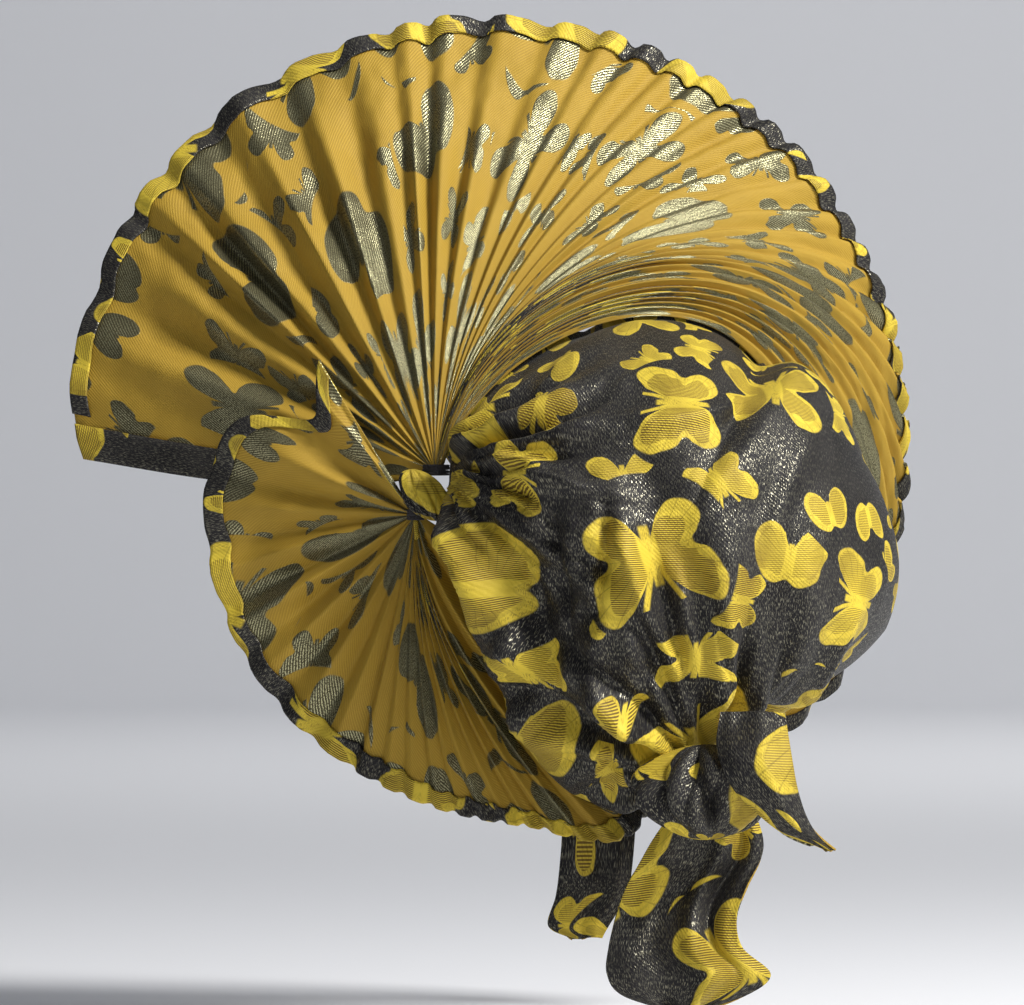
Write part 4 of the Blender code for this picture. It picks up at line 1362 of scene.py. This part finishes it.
STRIP = HangingCloth(
    node="tail_strip", top=(-0.005, -0.236, 0.040),
    levels=[
        (0.00, -0.14, 0.25, 0.00, 0.02),
        (0.36, -0.17, 0.22, 0.01, 0.03),
        (0.50, -0.19, 0.19, 0.01, 0.03),
        (0.66, -0.23, 0.10, 0.02, 0.02),
        (0.74, -0.10, 0.06, 0.02, 0.02),
    ],
    pleats=[(0.28, 0.10, 0.0022), (0.55, 0.08, -0.0016), (0.80, 0.10, 0.0020)],
    flat=(0.040, 0.061), start=(0.55, 0.12), seed=6,
)
LOOP = HangingCloth(
    node="tail_loop", top=(0.050, -0.238, 0.115),
    levels=[
        (0.00, -0.16, 0.26, 0.00, 0.02),
        (0.15, -0.27, 0.31, 0.02, 0.02),
        (0.27, -0.34, 0.30, 0.04, -0.05),
        (0.42, -0.42, 0.22, 0.06, -0.16),
        (0.57, -0.47, 0.17, 0.08, -0.14),
        (0.73, -0.51, 0.20, 0.08, -0.02),
        (0.87, -0.52, 0.35, 0.08, 0.07),
        (0.99, -0.44, 0.22, 0.07, 0.06),
        (1.08, -0.18, -0.06, 0.05, 0.01),
    ],
    pleats=[
        (0.12, 0.09, 0.0070), (0.36, 0.11, -0.0100), (0.64, 0.09, 0.0075), (0.80, 0.05, -0.0050),
        (0.92, 0.06, 0.0045),
    ],
    flat=(0.075, 0.098), start=(0.73, 0.42), seed=8,
)
KNOT = GatheredLump(
    node="nape_knot", middle=(0.050, -0.229, 0.105), half=(0.0298, 0.0232, 0.0196), lean=(0.0, 0.0),
    creases=6, twist=2.2, depth=0.32, start=(0.2, 0.6), seed=2,
)
NECK = GatheredLump(
    node="gather_neck", middle=(-0.0874, -0.0848, 0.0709), half=(0.0110, 0.0128, 0.0050),
    lean=(-0.454, -0.26), creases=9, twist=0.8, depth=0.20, start=(0.93, 0.24), steps=(96, 60), seed=5,
)
BRIM_TIE = ThreadWinding(node="brim_tie", middle=(-0.08148, -0.07245, 0.0504), ring=0.00676)
SIDE_TIE = ThreadWinding(node="side_tie", middle=(-0.09152, -0.094536, 0.05616), ring=0.0044)


def add_end_band(brim: PleatedFan, wardrobe: Wardrobe) -> bpy.types.Object:
    """Turns the short end of the cloth over at the brim's low left edge, dark side out."""
    first = int(0.42 * brim.rows)
    grid = brim.grid[first:, :6]
    way = brim.way[first:, :6]
    flat = brim.flat[first:, :6]
    lift = 0.0016 + 0.0003 * ripples(flat[..., 0], flat[..., 1], 0.03, 31)
    points = grid + way * lift[..., None]
    places = flat + np.array([0.3, 0.0])
    piece = add_sheet("end_band_cloth", points, places, way, wardrobe.slots(Side.FACE), HEM_CLOTH)
    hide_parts("end_band")
    report(piece)
    return piece


def pick_edges(mesh: bpy.types.Mesh, chosen: set[int]) -> None:
    """Selects the edges whose two ends are both chosen."""
    for vertex in mesh.vertices:
        vertex.select = vertex.index in chosen
    for edge in mesh.edges:
        edge.select = all(index in chosen for index in edge.vertices)
    for face in mesh.polygons:
        face.select = False


@dataclass(frozen=True)
class SoftLight:
    """A square soft light.

    Attributes:
        name: Its name.
        spot: Its place, across, up and toward.
        size: The side of its square.
        power: Its power in watts.
        colour: Its colour.
        target: What it is aimed at, across, up and toward.
    """

    name: str
    spot: Place
    size: float
    power: float
    colour: Place
    target: Place = (-0.044, -0.0885, 0.0)

    def add(self) -> None:
        """Adds the light to the scene."""
        data = bpy.data.lights.new(self.name, "AREA")
        data.size = self.size
        data.energy = self.power
        data.color = self.colour
        lamp = bpy.data.objects.new(self.name, data)
        bpy.context.scene.collection.objects.link(lamp)
        centre = place(*self.spot)
        lamp.location = tuple(centre)
        aim = place(*self.target) - centre
        tilt = math.atan2(math.hypot(aim[0], aim[1]), -aim[2])
        lamp.rotation_euler = (tilt, 0, math.atan2(aim[1], aim[0]) - math.pi / 2)


LIGHTS = [
    SoftLight("key_light", (1.60, 1.60, 1.05), 0.7, 92.0, (1.0, 0.985, 0.96)),
    SoftLight("fill_light", (1.9, 0.5, 2.0), 1.6, 9.0, (0.95, 0.97, 1.0)),
    SoftLight("top_light", (-0.6, 1.9, -0.3), 1.2, 4.0, (1.0, 1.0, 1.0)),
    SoftLight("wall_light", (1.2, 3.0, -3.6), 2.0, 80.0, (1.0, 0.99, 0.97), (0.7, -0.1, -6.6)),
]


@dataclass(frozen=True)
class Studio:
    """A pale sweep of paper, the room's light and the camera.

    Attributes:
        floor: Height of the floor.
        sweep_at: How far toward the middle of the floor lies.
        sweep_size: The floor's width and depth.
        wall: Height of the backdrop.
        bend: Radius of the bend between them.
        paper: Colour of the paper.
        air: Colour of the room's light.
        air_strength: Strength of the room's light.
        distance: Distance from the camera to the brim's plane.
        aim: Where the camera looks, across and up.
        focal: Focal length in millimetres.
    """

    floor: float = -0.352
    sweep_at: float = -2.4
    sweep_size: Pair = (12.0, 11.0)
    wall: float = 5.0
    bend: float = 1.6
    paper: Colour = (0.86, 0.87, 0.90, 1.0)
    air: Colour = (0.86, 0.90, 1.0, 1.0)
    air_strength: float = 0.17
    distance: float = 4.0
    aim: Pair = (-0.044, -0.0885)
    focal: float = 281.25

    def add_sweep(self) -> None:
        """Adds a floor whose far edge turns up into a backdrop."""
        centre = place(0.0, self.floor, self.sweep_at)
        bpy.ops.mesh.primitive_plane_add(size=1, location=tuple(centre), rotation=(0, 0, BRIM_TURN))
        sweep = bpy.context.active_object
        sweep.name = "studio_sweep"
        sweep.scale = (*self.sweep_size, 1.0)
        bpy.ops.object.transform_apply(location=True, rotation=True, scale=True)
        only(sweep)
        bpy.ops.object.mode_set(mode="EDIT")
        bpy.ops.mesh.select_all(action="DESELECT")
        bpy.ops.object.mode_set(mode="OBJECT")
        limit = min(np.array(vertex.co) @ TOWARD for vertex in sweep.data.vertices) + 0.01
        pick_edges(sweep.data, {
            vertex.index for vertex in sweep.data.vertices if np.array(vertex.co) @ TOWARD < limit
        })
        bpy.ops.object.mode_set(mode="EDIT")
        bpy.ops.mesh.extrude_region_move(TRANSFORM_OT_translate={"value": (0, 0, self.wall)})
        bpy.ops.object.mode_set(mode="OBJECT")
        pick_edges(sweep.data, {
            vertex.index for vertex in sweep.data.vertices
            if np.array(vertex.co) @ TOWARD < limit and vertex.co.z < self.floor + 0.01
        })
        bpy.ops.object.mode_set(mode="EDIT")
        bpy.ops.mesh.select_mode(type="EDGE")
        bpy.ops.mesh.bevel(offset=self.bend, segments=24, affect="EDGES")
        bpy.ops.object.mode_set(mode="OBJECT")
        bpy.ops.object.shade_smooth()
        paper = Loom("studio_paper")
        paper.feed(paper.shader.inputs["Base Color"], self.paper)
        paper.feed(paper.shader.inputs["Roughness"], 0.9)
        sweep.data.materials.append(paper.material)

    def add_camera(self) -> None:
        """Adds the camera, level and square to the brim's plane."""
        data = bpy.data.cameras.new("camera")
        data.lens = self.focal
        data.sensor_width = 36.0
        data.clip_end = 60.0
        camera = bpy.data.objects.new("camera", data)
        bpy.context.scene.collection.objects.link(camera)
        camera.location = tuple(place(self.aim[0], self.aim[1], self.distance))
        camera.rotation_euler = (math.pi / 2, 0, BRIM_TURN)
        bpy.context.scene.camera = camera

    def build(self) -> None:
        """Sets up the sweep, the lights, the room's light and the camera."""
        self.add_sweep()
        for light in LIGHTS:
            light.add()
        bpy.context.scene.view_settings.view_transform = "Standard"
        world = bpy.data.worlds.new("studio_air")
        bpy.context.scene.world = world
        world.use_nodes = True
        air = world.node_tree.nodes["Background"]
        air.inputs["Color"].default_value = self.air
        air.inputs["Strength"].default_value = self.air_strength
        self.add_camera()


def main() -> None:
    """Builds the wrap piece by piece, then the studio around it."""
    logging.basicConfig(level=logging.INFO, format="%(name)s %(message)s")
    wardrobe = Wardrobe()
    BRIM.shape()
    SIDE.shape()
    brim = BRIM.build(wardrobe)
    brim_hem = BRIM.build_hem(wardrobe, "brim_hem", first=6)
    end_band = add_end_band(BRIM, wardrobe)
    side = SIDE.build(wardrobe)
    side_hem = SIDE.build_hem(wardrobe, "side_fan_hem")
    cap = DrapedCap().build(wardrobe, BRIM)
    for winding in (BRIM_TIE, SIDE_TIE):
        winding.build(wardrobe)
    neck = NECK.build(wardrobe)
    knot = KNOT.build(wardrobe)
    for hanging in (FLAP, STRIP, LOOP):
        hanging.build(wardrobe)
    Studio().build()


if __name__ == "__main__":
    main()
